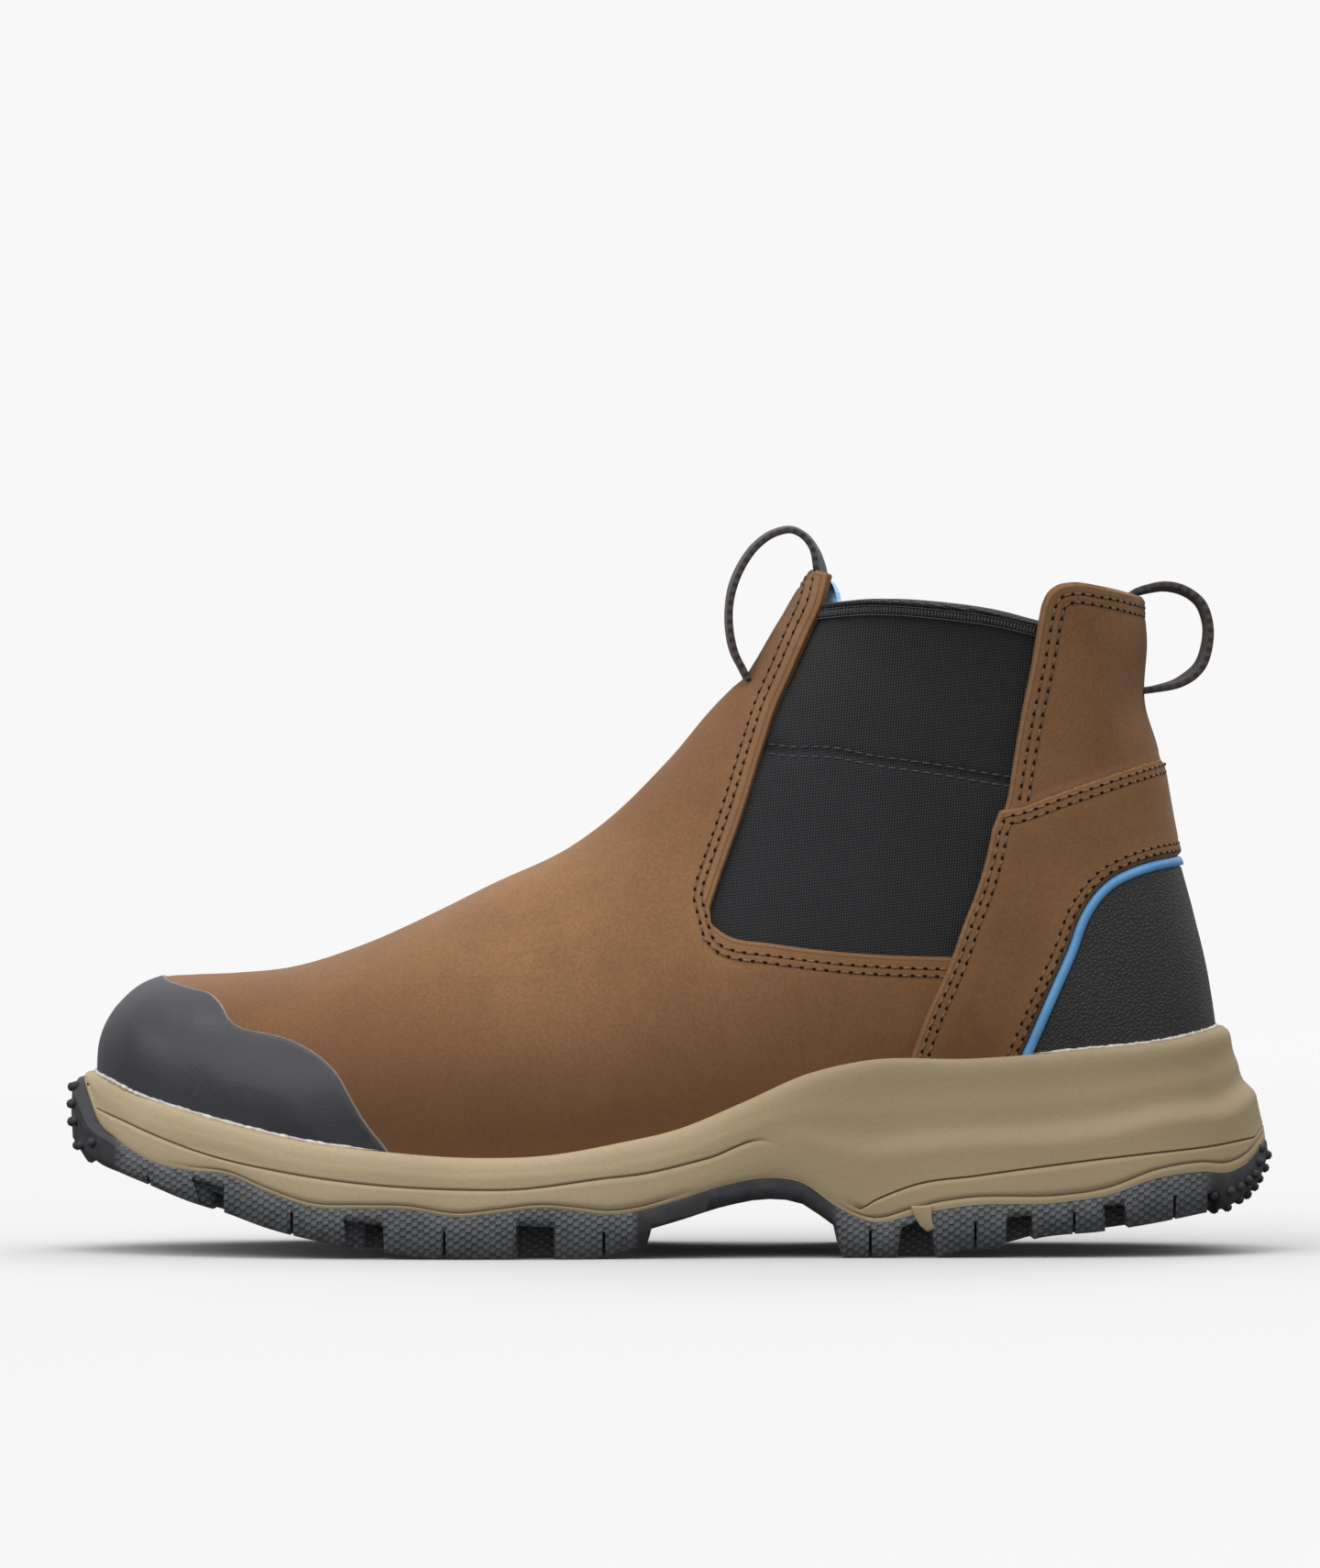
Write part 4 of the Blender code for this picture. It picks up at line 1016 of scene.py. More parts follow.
# Insole
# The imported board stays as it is. Inside the boot only its top shows, so it is covered in a dark knit
# with small loops.
knit = speckled("insole_knit", 0.9, (800,), (0.0, 0.6), paint(24, 24, 28), paint(60, 60, 66), 0.0004,
                Sheen_Weight=0.2)  # fmt: skip
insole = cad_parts["insole"]
for slot in insole.material_slots:
    slot.material = knit.material


# Pull loops
# A dark webbing loop is sewn to the front tab and another to the back of the collar. Each follows its
# outline in the side view, and leans a little across.
FRONT_LOOP = (
    # along, up, lean in degrees
    (0.4340, 0.754, 1), (0.4385, 0.778, 1), (0.4450, 0.812, 2), (0.4490, 0.855, 2), (0.4500, 0.900, 2),
    (0.4470, 0.955, 3), (0.4385, 1.008, 3), (0.4265, 1.050, 3), (0.4110, 1.077, 3), (0.3970, 1.083, 3),
    (0.3862, 1.068, 3), (0.3785, 1.040, 4), (0.3745, 1.005, 8), (0.3718, 0.960, 9),
)
BACK_LOOP = (
    (0.1115, 0.729, 1), (0.0940, 0.735, 1), (0.0730, 0.751, 3), (0.0575, 0.785, 5), (0.0515, 0.830, 4),
    (0.0510, 0.880, 3), (0.0575, 0.924, 2), (0.0710, 0.950, 2), (0.0860, 0.959, 2), (0.1000, 0.954, 3),
    (0.1120, 0.944, 3), (0.1200, 0.928, 2), (0.1240, 0.905, 1), (0.1240, 0.880, 0),
)
WEBBING_WIDTH = 0.0160
WEBBING = 0.0016
TWILL = 0.0024
WARP = 0.0008
webbing = Finish("dark_webbing", 0.85, Sheen_Weight=0.15)
uv = webbing.node("ShaderNodeUVMap", {"uv_map": "weave"})
split = webbing.tree.nodes.new("ShaderNodeSeparateXYZ")
webbing.plug(split.inputs[0], uv)
lengthwise, across = (Wire(webbing, split.outputs[k]) for k in (0, 1))
twill = ((lengthwise + abs(across)) * (2 * math.pi / TWILL)).sine() * 0.5 + 0.5
warp = (across * (2 * math.pi / WARP)).sine() * 0.5 + 0.5
lint = webbing.noise(1300, 3, 0.7)
webbing.colour(webbing.blend(twill * 0.3 + warp * 0.2 + lint * 0.5, paint(40, 36, 35), paint(88, 80, 77)))
webbing.relief(twill + warp * 0.4, 0.0003)


def pull_loop(name, table):
    """Webbing run along a side view path, with its weave mapped in metres."""
    path = curve([row[:2] for row in table], 8)
    rows = len(path)
    share = np.linspace(0, 1, rows)
    leans = np.tan(np.radians(np.interp(share, np.linspace(0, 1, len(table)), [row[2] for row in table])))
    ahead = np.gradient(path, axis=0)
    ahead /= np.linalg.norm(ahead, axis=1, keepdims=True)
    bm = bmesh.new()
    bmesh.ops.create_grid(bm, x_segments=12, y_segments=rows - 1, size=0.5)
    uv_layer = bm.loops.layers.uv.new("weave")
    run = run_along(path)
    number = {}
    for vertex in bm.verts:
        row = round((vertex.co.y + 0.5) * (rows - 1))
        across = vertex.co.x * WEBBING_WIDTH
        number[vertex] = (run[row], across)
        shift = across * leans[row]
        vertex.co = (path[row][0] - ahead[row][1] * shift, across, path[row][1] + ahead[row][0] * shift)
    for face in bm.faces:
        for loop in face.loops:
            loop[uv_layer].uv = number[loop.vert]
    bmesh.ops.recalc_face_normals(bm, faces=bm.faces)
    obj = finished_object(name, bm, webbing)
    wall = obj.modifiers.new("wall", "SOLIDIFY")
    wall.thickness = WEBBING
    wall.offset = 0
    soft = obj.modifiers.new("soft", "BEVEL")
    soft.width = 0.0004
    soft.segments = 2
    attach(obj, "root")
    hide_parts(name)


pull_loop("front_pull_loop", FRONT_LOOP)
pull_loop("back_pull_loop", BACK_LOOP)


# Midsole
# A moulded foam cup, wide and fluted at the heel and slim at the forefoot, with a small fin over a heel
# lug. It is cemented to the leather, where a pale line of adhesive shows at the heel and at the toe.
SOLE_WIDTH = 0.114
STATIONS = 260
HEEL_PIXEL = 1386.5
FLOOR_PIXEL = 1368
LENGTH_PIXELS = 1312.5
SOLE_PIXELS = 246
OUTLINE = (
    # along, outer, inner, flare
    (0.003, -0.010, -0.010, 0.091),
    (0.018, 0.175, -0.195, 0.088),
    (0.060, 0.318, -0.330, 0.080),
    (0.120, 0.388, -0.388, 0.068),
    (0.200, 0.410, -0.400, 0.058),
    (0.300, 0.412, -0.398, 0.046),
    (0.400, 0.424, -0.394, 0.038),
    (0.500, 0.458, -0.420, 0.032),
    (0.600, 0.496, -0.468, 0.030),
    (0.690, 0.500, -0.498, 0.030),
    (0.780, 0.472, -0.497, 0.028),
    (0.860, 0.400, -0.454, 0.026),
    (0.920, 0.300, -0.374, 0.022),
    (0.965, 0.160, -0.250, 0.018),
    (0.988, -0.055, -0.055, 0.016),
)
RIM = (
    (0.985, 0.800), (0.963, 0.764), (0.935, 0.698), (0.900, 0.636), (0.850, 0.565), (0.800, 0.508),
    (0.733, 0.466), (0.660, 0.440), (0.600, 0.450), (0.540, 0.504), (0.493, 0.561), (0.440, 0.676),
    (0.387, 0.800), (0.340, 0.858), (0.251, 0.867), (0.160, 0.904), (0.080, 0.948), (0.035, 1.000),
)  # fmt: skip
EDGE = (
    (0.988, 0.770), (0.982, 0.690), (0.974, 0.590), (0.958, 0.512), (0.923, 0.408), (0.893, 0.379),
    (0.862, 0.363), (0.827, 0.289), (0.790, 0.228), (0.755, 0.223), (0.714, 0.219), (0.671, 0.187),
    (0.640, 0.204), (0.601, 0.224), (0.575, 0.211), (0.548, 0.195), (0.525, 0.210), (0.493, 0.256),
    (0.453, 0.321), (0.418, 0.350), (0.392, 0.331), (0.361, 0.220), (0.331, 0.156), (0.301, 0.187),
    (0.256, 0.228), (0.178, 0.244), (0.139, 0.276), (0.100, 0.345), (0.061, 0.371), (0.038, 0.365),
    (0.022, 0.400), (0.003, 0.495),
)  # fmt: skip
SIDE_LEVELS = (
    # up, forefoot, heel
    (0.00, 0.10, 0.00),
    (0.06, 0.02, 0.01),
    (0.12, 0.00, 0.04),
    (0.18, 0.00, 0.09),
    (0.24, 0.02, 0.13),
    (0.34, 0.08, 0.19),
    (0.41, 0.12, 0.24),
    (0.46, 0.14, 0.36),
    (0.52, 0.15, 0.53),
    (0.58, 0.17, 0.61),
    (0.64, 0.20, 0.65),
    (0.69, 0.25, 0.69),
    (0.74, 0.32, 0.75),
    (0.80, 0.40, 0.80),
    (0.86, 0.50, 0.83),
    (0.93, 0.68, 0.87),
    (0.97, 0.85, 0.93),
    (1.00, 1.15, 1.04),
)
GROOVE = (
    (0.0000, 0.600), (0.0084, 0.579), (0.0270, 0.537), (0.0638, 0.488), (0.1192, 0.449), (0.1573, 0.424),
    (0.2000, 0.394), (0.2472, 0.3585), (0.2994, 0.318), (0.3300, 0.256), (0.3510, 0.205), (0.3750, 0.330),
    (0.4180, 0.511), (0.4705, 0.436), (0.5230, 0.371), (0.5558, 0.351), (0.6260, 0.305), (0.6747, 0.305),
    (0.7448, 0.327), (0.8149, 0.379), (0.8777, 0.454), (0.9400, 0.575), (0.9825, 0.679), (0.9880, 0.700),
)  # fmt: skip
LIP_HEIGHT = (
    (0.0, 0.0022), (0.07, 0.0026), (0.16, 0.0018), (0.28, 0.0022), (0.35, 0.0009), (0.42, 0.0012),
    (0.60, 0.0010), (1.0, 0.0009),
)  # fmt: skip
GROOVE_GAP = ((0.344, 0.354), (0.412, 0.440))
LIP_GAP = ((0.33, 0.38), (0.47, 0.52))
LIP_END = (0.86, 0.92)
GROOVE_WIDTH = 0.0008
GROOVE_DEPTH = 0.0006
LIP_DEPTH = 0.0005
HEEL_FLUTES = (0.30, 0.46)
RIM_REACH = (0.004, 0.012)


def sole_ring():
    """The sole's outline round by the outer side: points, outward ways, flares and shares of LENGTH."""
    table = np.array(OUTLINE)
    span = table[-1, 0] - table[0, 0]
    turn = np.arccos(np.clip(1 - 2 * (table[:, 0] - table[0, 0]) / span, -1, 1))
    angle = np.linspace(0, math.pi, STATIONS + 1)
    share = table[0, 0] + (1 - np.cos(angle)) / 2 * span
    outer, inner, flare = (smooth(turn, table[:, k], angle) * SOLE_WIDTH for k in (1, 2, 3))
    x = (share - 0.5) * LENGTH
    points = np.concatenate([np.stack([x, outer], 1), np.stack([x, inner], 1)[-2:0:-1]])
    flares = np.concatenate([flare, flare[-2:0:-1]])
    run = np.roll(points, -1, axis=0) - np.roll(points, 1, axis=0)
    ways = np.stack([-run[:, 1], run[:, 0]], axis=1)
    ways /= np.linalg.norm(ways, axis=1, keepdims=True)
    return points, ways, flares, np.concatenate([share, share[-2:0:-1]])


RING, RING_WAY, FLARE, RING_SHARE = sole_ring()


def loft(name, rings, finish, sharp=40, marked={}):
    """A closed skin through rings of equal count. A marked ring keeps its numbers in "groove"."""
    count = len(rings[0])
    bm = bmesh.new()
    bmesh.ops.create_grid(bm, x_segments=count, y_segments=len(rings) - 1, size=1.0)
    groove = bm.verts.layers.float.new("groove")
    for vertex in bm.verts:
        column = round((vertex.co.x + 1) / 2 * count) % count
        row = round((vertex.co.y + 1) / 2 * (len(rings) - 1))
        vertex.co = rings[row][column]
        vertex[groove] = float(marked[row][column]) if row in marked else 0.0
    bmesh.ops.remove_doubles(bm, verts=bm.verts, dist=1e-6)
    bmesh.ops.recalc_face_normals(bm, faces=bm.faces)
    if bm.calc_volume(signed=True) < 0:
        bmesh.ops.reverse_faces(bm, faces=bm.faces)
    return finished_object(name, bm, finish, sharp)


def inset_ring(inset):
    """The outline moved in by a distance at each station."""
    return RING - RING_WAY * np.reshape(inset, (-1, 1))


def raised(ring, heights):
    """The ring's stations in space, at one height or at a height each."""
    return np.column_stack([ring, np.broadcast_to(heights, len(ring))])


def centred(ring):
    """Each station moved to the middle between it and its mate across the sole."""
    return (ring + ring[(-np.arange(len(ring))) % len(ring)]) / 2


def shares_of(ring):
    """Each station's share of LENGTH."""
    return ring[:, 0] / LENGTH + 0.5


def evened(ring, count):
    """A mean over count neighbours at each station."""
    reach = count // 2
    around = np.concatenate([ring[-reach:], ring, ring[:reach]])
    return np.convolve(around, np.ones(count) / count, "valid")


def wall_at(share, hand):
    """How far the sole's side stands out across the boot, with its hand."""
    half = RING_SHARE[: STATIONS + 1], RING[: STATIONS + 1, 1]
    if hand < 0:
        half = RING_SHARE[STATIONS:][::-1], RING[STATIONS:, 1][::-1]
    return float(np.interp(share, *half))


def from_picture(across, down):
    """A side view place in metres, from where it stands in the photograph in pixels."""
    share = (HEEL_PIXEL - across) / LENGTH_PIXELS
    return (share - 0.5) * LENGTH, (FLOOR_PIXEL - down) / SOLE_PIXELS * SOLE_HEIGHT


def midsole_rings():
    """Rings from the foot of the cup to its rim, with two fine grooves, then in to the upper and down."""
    ahead = eased(RING_SHARE, *HEEL_FLUTES)
    levels = np.array(SIDE_LEVELS)

    def inset_at(up):
        forefoot = smooth(levels[:, 0], levels[:, 1], up)
        heel = smooth(levels[:, 0], levels[:, 2], up)
        return FLARE * (forefoot * ahead + heel * (1 - ahead))

    foot = inset_ring(inset_at(0.0))
    foot_z = sole_line(EDGE, shares_of(foot))
    rim = inset_ring(inset_at(1.0))
    share = shares_of(rim)
    rim_z = sole_line(RIM, share)
    lip_z = foot_z + np.interp(share, *zip(*LIP_HEIGHT))
    line_z = np.clip(sole_line(GROOVE, share), lip_z + 0.0014, rim_z - 0.0030)
    line_depth = np.maximum(1 - eased(share, *GROOVE_GAP[0]), eased(share, *GROOVE_GAP[1]))
    lip_ahead = eased(share, *LIP_GAP[1]) * (1 - eased(share, *LIP_END))
    lip_depth = np.maximum(1 - eased(share, *LIP_GAP[0]), lip_ahead)
    base = centred(foot)
    rings = [raised(base, sole_line(EDGE, shares_of(base)))]
    marked = {}

    def add(z, dent=0.0):
        up = (z - foot_z) / (rim_z - foot_z)
        rings.append(raised(inset_ring(inset_at(up) + dent), z))

    add(foot_z)
    add(foot_z + (lip_z - foot_z) * 0.35)
    add(lip_z - GROOVE_WIDTH / 2)
    marked[len(rings)] = lip_depth * 0.85
    add(lip_z, LIP_DEPTH * lip_depth)
    add(lip_z + GROOVE_WIDTH / 2)
    first, last = lip_z + GROOVE_WIDTH / 2, line_z - GROOVE_WIDTH / 2
    for part in np.linspace(0, 1, 6)[1:]:
        add(first + (last - first) * part)
    marked[len(rings)] = line_depth
    add(line_z, GROOVE_DEPTH * line_depth)
    first = line_z + GROOVE_WIDTH / 2
    for part in np.linspace(0, 1, 26):
        add(first + (rim_z - first) * part)
    tree = BVHTree.FromObject(vamp_form, bpy.context.evaluated_depsgraph_get())
    reach = []
    for (x, y), (wx, wy), z in zip(rim, RING_WAY, rim_z):
        hit = tree.ray_cast(Vector((x, y, z)), Vector((-wx, -wy, 0)))[3]
        reach.append(min(RIM_REACH[1], hit or RIM_REACH[0]))
    reach = evened(np.array(reach), 7)
    for part, drop in ((0.12, -0.0001), (0.6, 0.0), (1.0, 0.0001)):
        rings.append(raised(rim - RING_WAY * (reach * part)[:, None], rim_z - drop))
    for extra, drop in ((0.0010, 0.0), (0.0012, 0.006)):
        rings.append(raised(rim - RING_WAY * (reach + extra)[:, None], rim_z - drop))
    middle = centred(rim)
    rings.append(raised(middle, sole_line(EDGE, shares_of(middle)) + 0.004))
    return rings, marked, raised(rim, rim_z + 0.0002)


form_bm = bmesh.new()
form_columns, form_rows = LAST_COLUMNS // 4, LAST_ROWS // 4
bmesh.ops.create_grid(form_bm, x_segments=form_columns, y_segments=form_rows, size=1.0)
for vertex in form_bm.verts:
    column = round((vertex.co.x + 1) / 2 * form_columns) * 4 % LAST_COLUMNS
    row = round((vertex.co.y + 1) / 2 * form_rows) * 4
    vertex.co = SKIN[row, column]
vamp_form = finished_object("last_for_measuring", form_bm)
bpy.context.view_layer.update()

foam = Finish("tan_foam", 0.72, Specular_IOR_Level=0.3)
speck = foam.noise(700, 3, 0.65)
cloud = foam.noise(12, 3, 0.5)
x, y, z = foam.axes()
tone = foam.blend(cloud.rises(0.3, 0.7), paint(170, 152, 120), paint(184, 166, 134))
# Painted shade: the foam is darkened towards the heel, which gets less of the lamps' light than the forefoot.
tone = foam.blend((1 - x.rises(-0.050, 0.030)) * 0.45, tone, paint(144, 126, 96))
tone = foam.blend(speck.rises(0.5, 0.75) * 0.15, tone, paint(140, 122, 96))
# Painted shade: the two fine grooves round the cup are darkened.
tone = foam.blend(foam.kept("groove").rises(0.3, 1.0) * 0.8, tone, paint(84, 66, 44))
foam.colour(tone)
foam.roughness(0.66 + speck * 0.15)
foam.relief(speck, 0.00010)
cup_rings, cup_marks, junction = midsole_rings()
midsole = loft("midsole", cup_rings, foam, sharp=60, marked=cup_marks)
bpy.data.objects.remove(vamp_form)
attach(midsole, "root")
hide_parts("midsole")

FIN = ((990, 1312), (1013, 1311), (1013, 1328), (1016, 1336), (1008, 1340), (1000, 1333), (994, 1323))
FIN_RISE = 0.0011
for name, hand in (("foam_fin_outer", 1), ("foam_fin_inner", -1)):
    bm = bmesh.new()
    places = [from_picture(*pixel) for pixel in FIN]
    wall = wall_at(places[0][0] / LENGTH + 0.5, hand) + hand * FIN_RISE
    bm.faces.new([bm.verts.new((x, wall, z)) for x, z in places])
    pushed = bmesh.ops.extrude_face_region(bm, geom=bm.faces[:])["geom"]
    back = [g for g in pushed if isinstance(g, bmesh.types.BMVert)]
    bmesh.ops.translate(bm, verts=back, vec=(0, -hand * 0.004, 0))
    bmesh.ops.recalc_face_normals(bm, faces=bm.faces)
    bmesh.ops.bevel(bm, geom=bm.edges[:], offset=0.0005, segments=3, profile=0.5, affect="EDGES", material=-1)
    fin = finished_object(name, bm, foam, sharp=60)
    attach(fin, "root")

glue = speckled("pale_adhesive", 0.6, (500, 3, 0.7), (0.3, 0.7), paint(176, 170, 160), paint(226, 224, 220),
                0.0003)  # fmt: skip
CAST_FROM = 0.01


def against_upper(ring):
    """The ring of places moved in until each touches the outermost skin of the upper."""
    graph = bpy.context.evaluated_depsgraph_get()
    skins = [BVHTree.FromObject(obj, graph) for obj in (vamp, toe_cap, counter, band)]
    touched = []
    for (x, y, z), (wx, wy) in zip(ring, RING_WAY):
        start = Vector((x + wx * CAST_FROM, y + wy * CAST_FROM, z))
        hits = [skin.ray_cast(start, Vector((-wx, -wy, 0)), 0.03)[3] for skin in skins]
        touched.append(min([hit for hit in hits if hit] or [0.012]))
    touched = evened(np.array(touched), 5)
    return raised(ring[:, :2] + RING_WAY * (CAST_FROM + 0.0001 - touched)[:, None], ring[:, 2])


junction = against_upper(junction)


def squeezed_bead(name, stations):
    """A thin uneven bead of adhesive along the joint of the cup and the upper."""
    count = len(stations)

    def corner(row, turn):
        x, y, z = junction[stations[row]]
        wx, wy = RING_WAY[stations[row]]
        fade = min(1.0, row / 6, (count - 1 - row) / 6)
        size = (0.00042 + 0.00010 * math.sin(row * 2.7) + 0.00008 * math.sin(row * 1.1 + 2)) * fade + 0.00002
        out = size * math.cos(turn) * 1.2
        return x + wx * out, y + wy * out, z + size * math.sin(turn) * 1.1

    obj = tube(name, 8, count, corner, glue)
    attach(obj, "root")


heel_stations = [k for k in range(-STATIONS, STATIONS) if RING_SHARE[k] < 0.205]
toe_stations = [k for k in range(2 * STATIONS) if RING_SHARE[k] > 0.735]
squeezed_bead("adhesive_heel", heel_stations)
squeezed_bead("adhesive_toe", toe_stations)


# Outsole
# Black moulded rubber under the cup, with lugs round its edge at the heel and under the forefoot, a thin
# waist between them, and a bumper that turns up over the toe. Small diamonds cover the lugs' sides, and
# rows of studs stand on the bumper and on the back of the heel.
TREAD = (
    (0.996, 0.640), (0.992, 0.460), (0.980, 0.406), (0.955, 0.350), (0.928, 0.298), (0.897, 0.238),
    (0.864, 0.189), (0.834, 0.134), (0.808, 0.098), (0.774, 0.062), (0.731, 0.028), (0.690, 0.004),
    (0.660, 0.000), (0.560, 0.000), (0.535, 0.036), (0.515, 0.060), (0.500, 0.070), (0.400, 0.020),
    (0.376, 0.000), (0.282, 0.000), (0.262, 0.030), (0.225, 0.047), (0.196, 0.086), (0.143, 0.114),
    (0.114, 0.135), (0.058, 0.184), (0.040, 0.200), (0.026, 0.228), (0.010, 0.290), (0.001, 0.400),
)  # fmt: skip
SIDE_STEPS = (
    # down from the top, inset as a share of SOLE_WIDTH, share of the bumper
    (0.02, 0.0, 0.5), (0.12, -0.004, 1.0), (0.4, -0.006, 1.0), (0.7, -0.003, 1.0), (0.93, 0.012, 0.5),
    (0.985, 0.017, 0.4),
)  # fmt: skip
FOOT_INSET = 0.02
PLATE = 0.0046
WAIST = 0.0052
BUMPER = 0.0026
BUMPER_RUN = (0.930, 0.985)
SEAT = 0.0001
# Each gap: the upper and lower corners at its toe end and its heel end, and how far it runs in.
GAPS = (
    ((0.8955, 0.341), (0.8800, 0.120), (0.8630, 0.100), (0.8615, 0.309), 0.0035),
    ((0.8720, 0.280), (0.8790, 0.050), (0.8625, 0.050), (0.8640, 0.270), 0.0200),
    ((0.7695, 0.171), (0.7640, -0.10), (0.7300, -0.10), (0.7310, 0.155), 0.0045),
    ((0.7500, 0.150), (0.7530, -0.10), (0.7290, -0.10), (0.7320, 0.145), 0.0220),
    ((0.6260, 0.150), (0.6310, -0.10), (0.5890, -0.10), (0.5910, 0.142), 0.0220),
    ((0.3110, 0.134), (0.3190, -0.10), (0.2700, -0.10), (0.2855, 0.175), 0.0220),
    ((0.2250, 0.175), (0.2270, -0.10), (0.1925, -0.10), (0.2020, 0.187), 0.0220),
    ((0.1450, 0.228), (0.1430, -0.05), (0.1120, -0.05), (0.1260, 0.232), 0.0200),
    ((0.0580, 0.276), (0.0585, -0.05), (0.0440, -0.05), (0.0460, 0.264), 0.0160),
)
WAIST_RUN = (0.514, 0.363)
SIPES = ((0.928, 0.345), (0.808, 0.205), (0.683, 0.125), (0.553, 0.120), (0.335, 0.120), (0.249, 0.155),
         (0.168, 0.200), (0.085, 0.270))  # fmt: skip
SIPE_WIDTH = 0.0010
CHANNEL_PLACE = 0.13
CHANNEL_RUNS = ((0.900, 0.545), (0.335, 0.060))
CHANNEL_WIDTH = 0.0060
DIAMOND_LENGTH = 0.0030
DIAMOND_HEIGHT = 0.0020
STUD = (0.0013, 0.0013, 0.0012)
STUD_SPACING = 0.007
# Each row of studs: where its studs stand in the photograph in pixels, the way it faces, and its reach.
STUD_ROWS = (
    (((1386, 1266), (1380, 1277), (1376, 1291), (1370, 1299), (1361, 1306), (1351, 1311), (1337, 1318),
      (1324, 1321)), (-0.75, 0, -0.66), 0.036),
    (((79, 1190), (76, 1209), (74, 1229), (82, 1254)), (0.97, 0, -0.25), 0.028),
)  # fmt: skip

rubber = Finish("black_rubber", 0.6, Specular_IOR_Level=0.4)
x, y, z = rubber.axes()
lengthwise = (x * (2 * math.pi / DIAMOND_LENGTH)).sine()
upwards = ((z + x * 0.12) * (2 * math.pi / DIAMOND_HEIGHT)).sine()
hatch = lengthwise * upwards * 0.5 + 0.5
at_heel = x.rises(-0.138, -0.134) * (1 - x.rises(-0.0435, -0.0410))
at_forefoot = x.rises(0.0070, 0.0095) * (1 - x.rises(0.138, 0.142))
lugs = at_heel + at_forefoot
dust = rubber.noise(240, 3, 0.6)
tone = rubber.blend(dust.rises(0.35, 0.7), paint(44, 44, 47), paint(58, 58, 62))
tone = rubber.blend(lugs, tone, rubber.blend(dust.rises(0.35, 0.7), paint(71, 73, 76), paint(90, 92, 95)))
# Painted highlight: the tops of the small diamonds on the lugs are lightened.
tone = rubber.blend(hatch.rises(0.4, 0.85) * lugs * 0.6, tone, paint(118, 121, 125))
rubber.colour(tone)
rubber.roughness(0.58 + dust * 0.15)
rubber.relief(hatch.rises(0.2, 0.7) * lugs + dust * 0.1, 0.00030)


def outsole_rings():
    """Rings from the seat under the cup, out and down the side, and in again along the tread."""
    top_z = sole_line(EDGE, RING_SHARE) + SEAT
    tread_z = np.maximum(0.0, np.minimum(sole_line(TREAD, RING_SHARE), top_z - PLATE))
    bump = BUMPER * eased(RING_SHARE, *BUMPER_RUN)
    steps = [(down, inset * SOLE_WIDTH, share) for down, inset, share in SIDE_STEPS]
    middle = centred(inset_ring(0.0))
    rings = [raised(middle, sole_line(EDGE, shares_of(middle)) + SEAT)]
    for down, inset, share in ((0.0, 0.0008, 0.3), *steps, (1.0, FOOT_INSET * SOLE_WIDTH + 0.0004, 0.3)):
        ring = inset_ring(inset - bump * share)
        rings.append(raised(ring, top_z + (tread_z - top_z) * down))
    middle = centred(inset_ring(FOOT_INSET * SOLE_WIDTH))
    share = shares_of(middle)
    foot_z = np.minimum(sole_line(TREAD, share), sole_line(EDGE, share) - PLATE)
    rings.append(raised(middle, np.maximum(0.0, foot_z)))
    return rings


def cut_block(corners, low, high, narrow=0.0):
    """A block with four side view corners, from low to high across the sole, narrower at low."""
    bm = bmesh.new()
    bmesh.ops.create_cube(bm, size=2.0)
    middle = sum(c[0] for c in corners) / 4
    for vertex in bm.verts:
        toe, up, far = vertex.co.x > 0, vertex.co.z > 0, vertex.co.y > 0
        share, level = corners[(0 if up else 1) if toe else (3 if up else 2)]
        if not far:
            share = share + (middle - share) * narrow
        vertex.co = ((share - 0.5) * LENGTH, high if far else low, level * SOLE_HEIGHT)
    bmesh.ops.recalc_face_normals(bm, faces=bm.faces)
    return bm


def carve(obj, cutters):
    """Cuts each bmesh out of the object in turn."""
    for bm in cutters:
        other = finished_object("cutter", bm)
        cut = obj.modifiers.new("cut", "BOOLEAN")
        cut.operation = "DIFFERENCE"
        cut.object = other
        bpy.context.view_layer.update()
        mesh = bpy.data.meshes.new_from_object(obj.evaluated_get(bpy.context.evaluated_depsgraph_get()))
        obj.modifiers.clear()
        obj.data = mesh
        bpy.data.objects.remove(other)


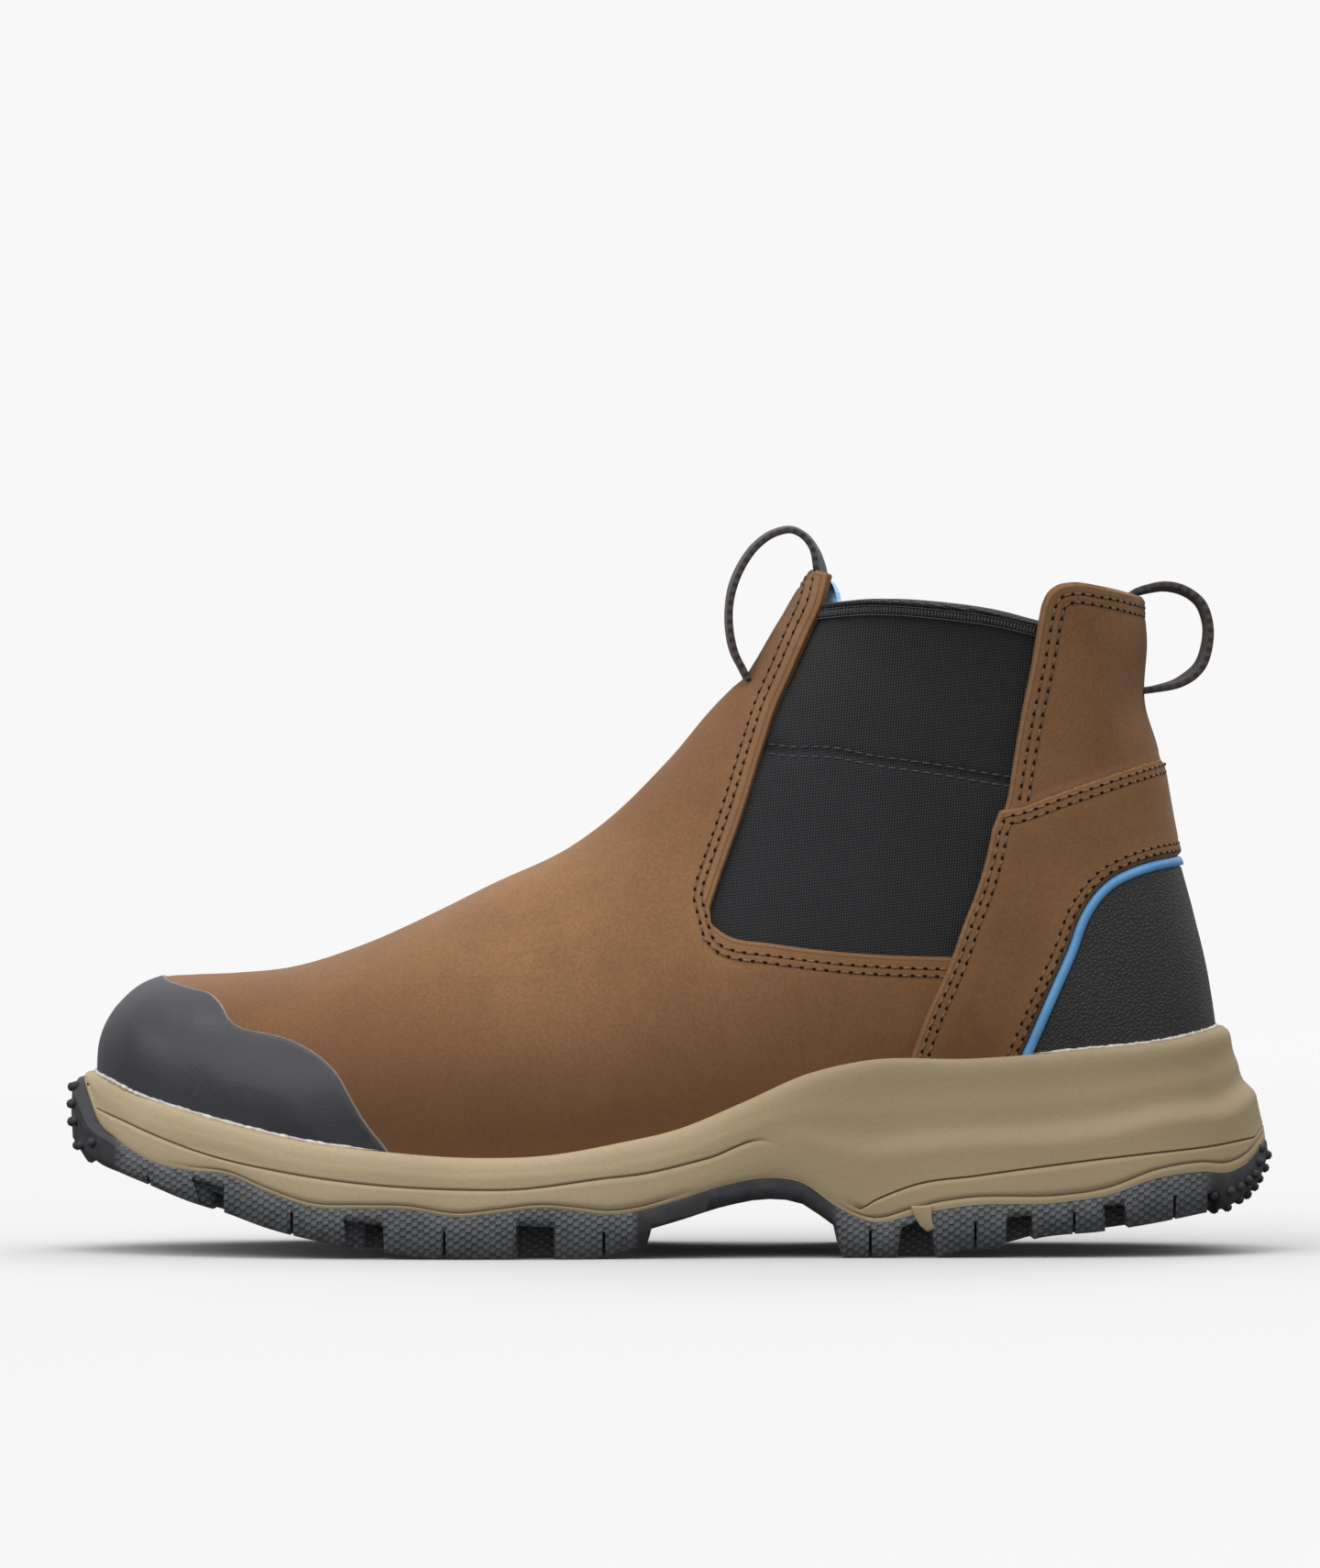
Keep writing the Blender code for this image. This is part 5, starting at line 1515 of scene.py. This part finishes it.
outsole = loft("outsole", outsole_rings(), rubber, sharp=35)
outer_gaps, inner_gaps, waist_cuts, grooves = [], [], [], []
for hand, cuts in ((1, outer_gaps), (-1, inner_gaps)):
    for *corners, reach in GAPS:
        wall = wall_at(sum(c[0] for c in corners) / 4, hand)
        block = cut_block(corners, abs(wall) - reach, abs(wall) + 0.02, 0.25)
        if hand < 0:
            bmesh.ops.scale(block, vec=(1, -1, 1), verts=block.verts[:])
            bmesh.ops.reverse_faces(block, faces=block.faces[:])
        cuts.append(block)
waist = np.linspace(*WAIST_RUN, 12)
for number, (toe, heel) in enumerate(zip(waist, waist[1:])):
    roofs = [(sole_line(EDGE, share) - WAIST) / SOLE_HEIGHT for share in (toe, heel)]
    toe_foot = toe + (0.012 if number == 0 else 0.0)
    heel_foot = heel - (0.010 if number == 10 else 0.0)
    corners = ((toe, roofs[0]), (toe_foot, -0.1), (heel_foot, -0.1), (heel, roofs[1]))
    waist_cuts.append(cut_block(corners, -0.08, 0.08))
for share, top in SIPES:
    wide, slim = (SIPE_WIDTH / LENGTH / 2 * part for part in (1.2, 0.6))
    corners = ((share + slim, top), (share + wide, -0.1), (share - wide, -0.1), (share - slim, top))
    for hand in (1, -1):
        wall = wall_at(share, hand)
        edges = sorted((wall - hand * 0.012, wall + hand * 0.02))
        grooves.append(cut_block(corners, *edges))
for start, end in CHANNEL_RUNS:
    for hand in (1, -1):
        steps = np.linspace(start, end, 7)
        for near, far in zip(steps, steps[1:]):
            top = (sole_line(EDGE, (near + far) / 2) - PLATE) / SOLE_HEIGHT
            corners = ((near + 0.001, top), (near + 0.001, -0.2), (far, -0.2), (far, top))
            middle = hand * CHANNEL_PLACE * SOLE_WIDTH
            grooves.append(cut_block(corners, middle - CHANNEL_WIDTH / 2, middle + CHANNEL_WIDTH / 2))
carve(outsole, outer_gaps + inner_gaps + waist_cuts + grooves)
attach(outsole, "root")
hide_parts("outsole")

studs = Beads()
tree = BVHTree.FromObject(outsole, bpy.context.evaluated_depsgraph_get())
for pixels, way, spread in STUD_ROWS:
    way = Vector(way)
    for number, pixel in enumerate(pixels):
        x, z = from_picture(*pixel)
        for across in np.arange(-spread + (number % 2) * STUD_SPACING / 2, spread + 0.001, STUD_SPACING):
            start = Vector((x, across, z)) + way * 0.03
            spot, normal, _, _ = tree.ray_cast(start, -way, 0.06)
            if spot is None or normal.dot(way) < 0.2:
                continue
            ahead = normal.cross(Vector((0, 1, 0))).normalized()
            studs.add(spot + normal * 0.0002, ahead, normal, STUD, sides=10)
bumps = finished_object("outsole_studs", studs.gather(), rubber, sharp=80)
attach(bumps, "root")
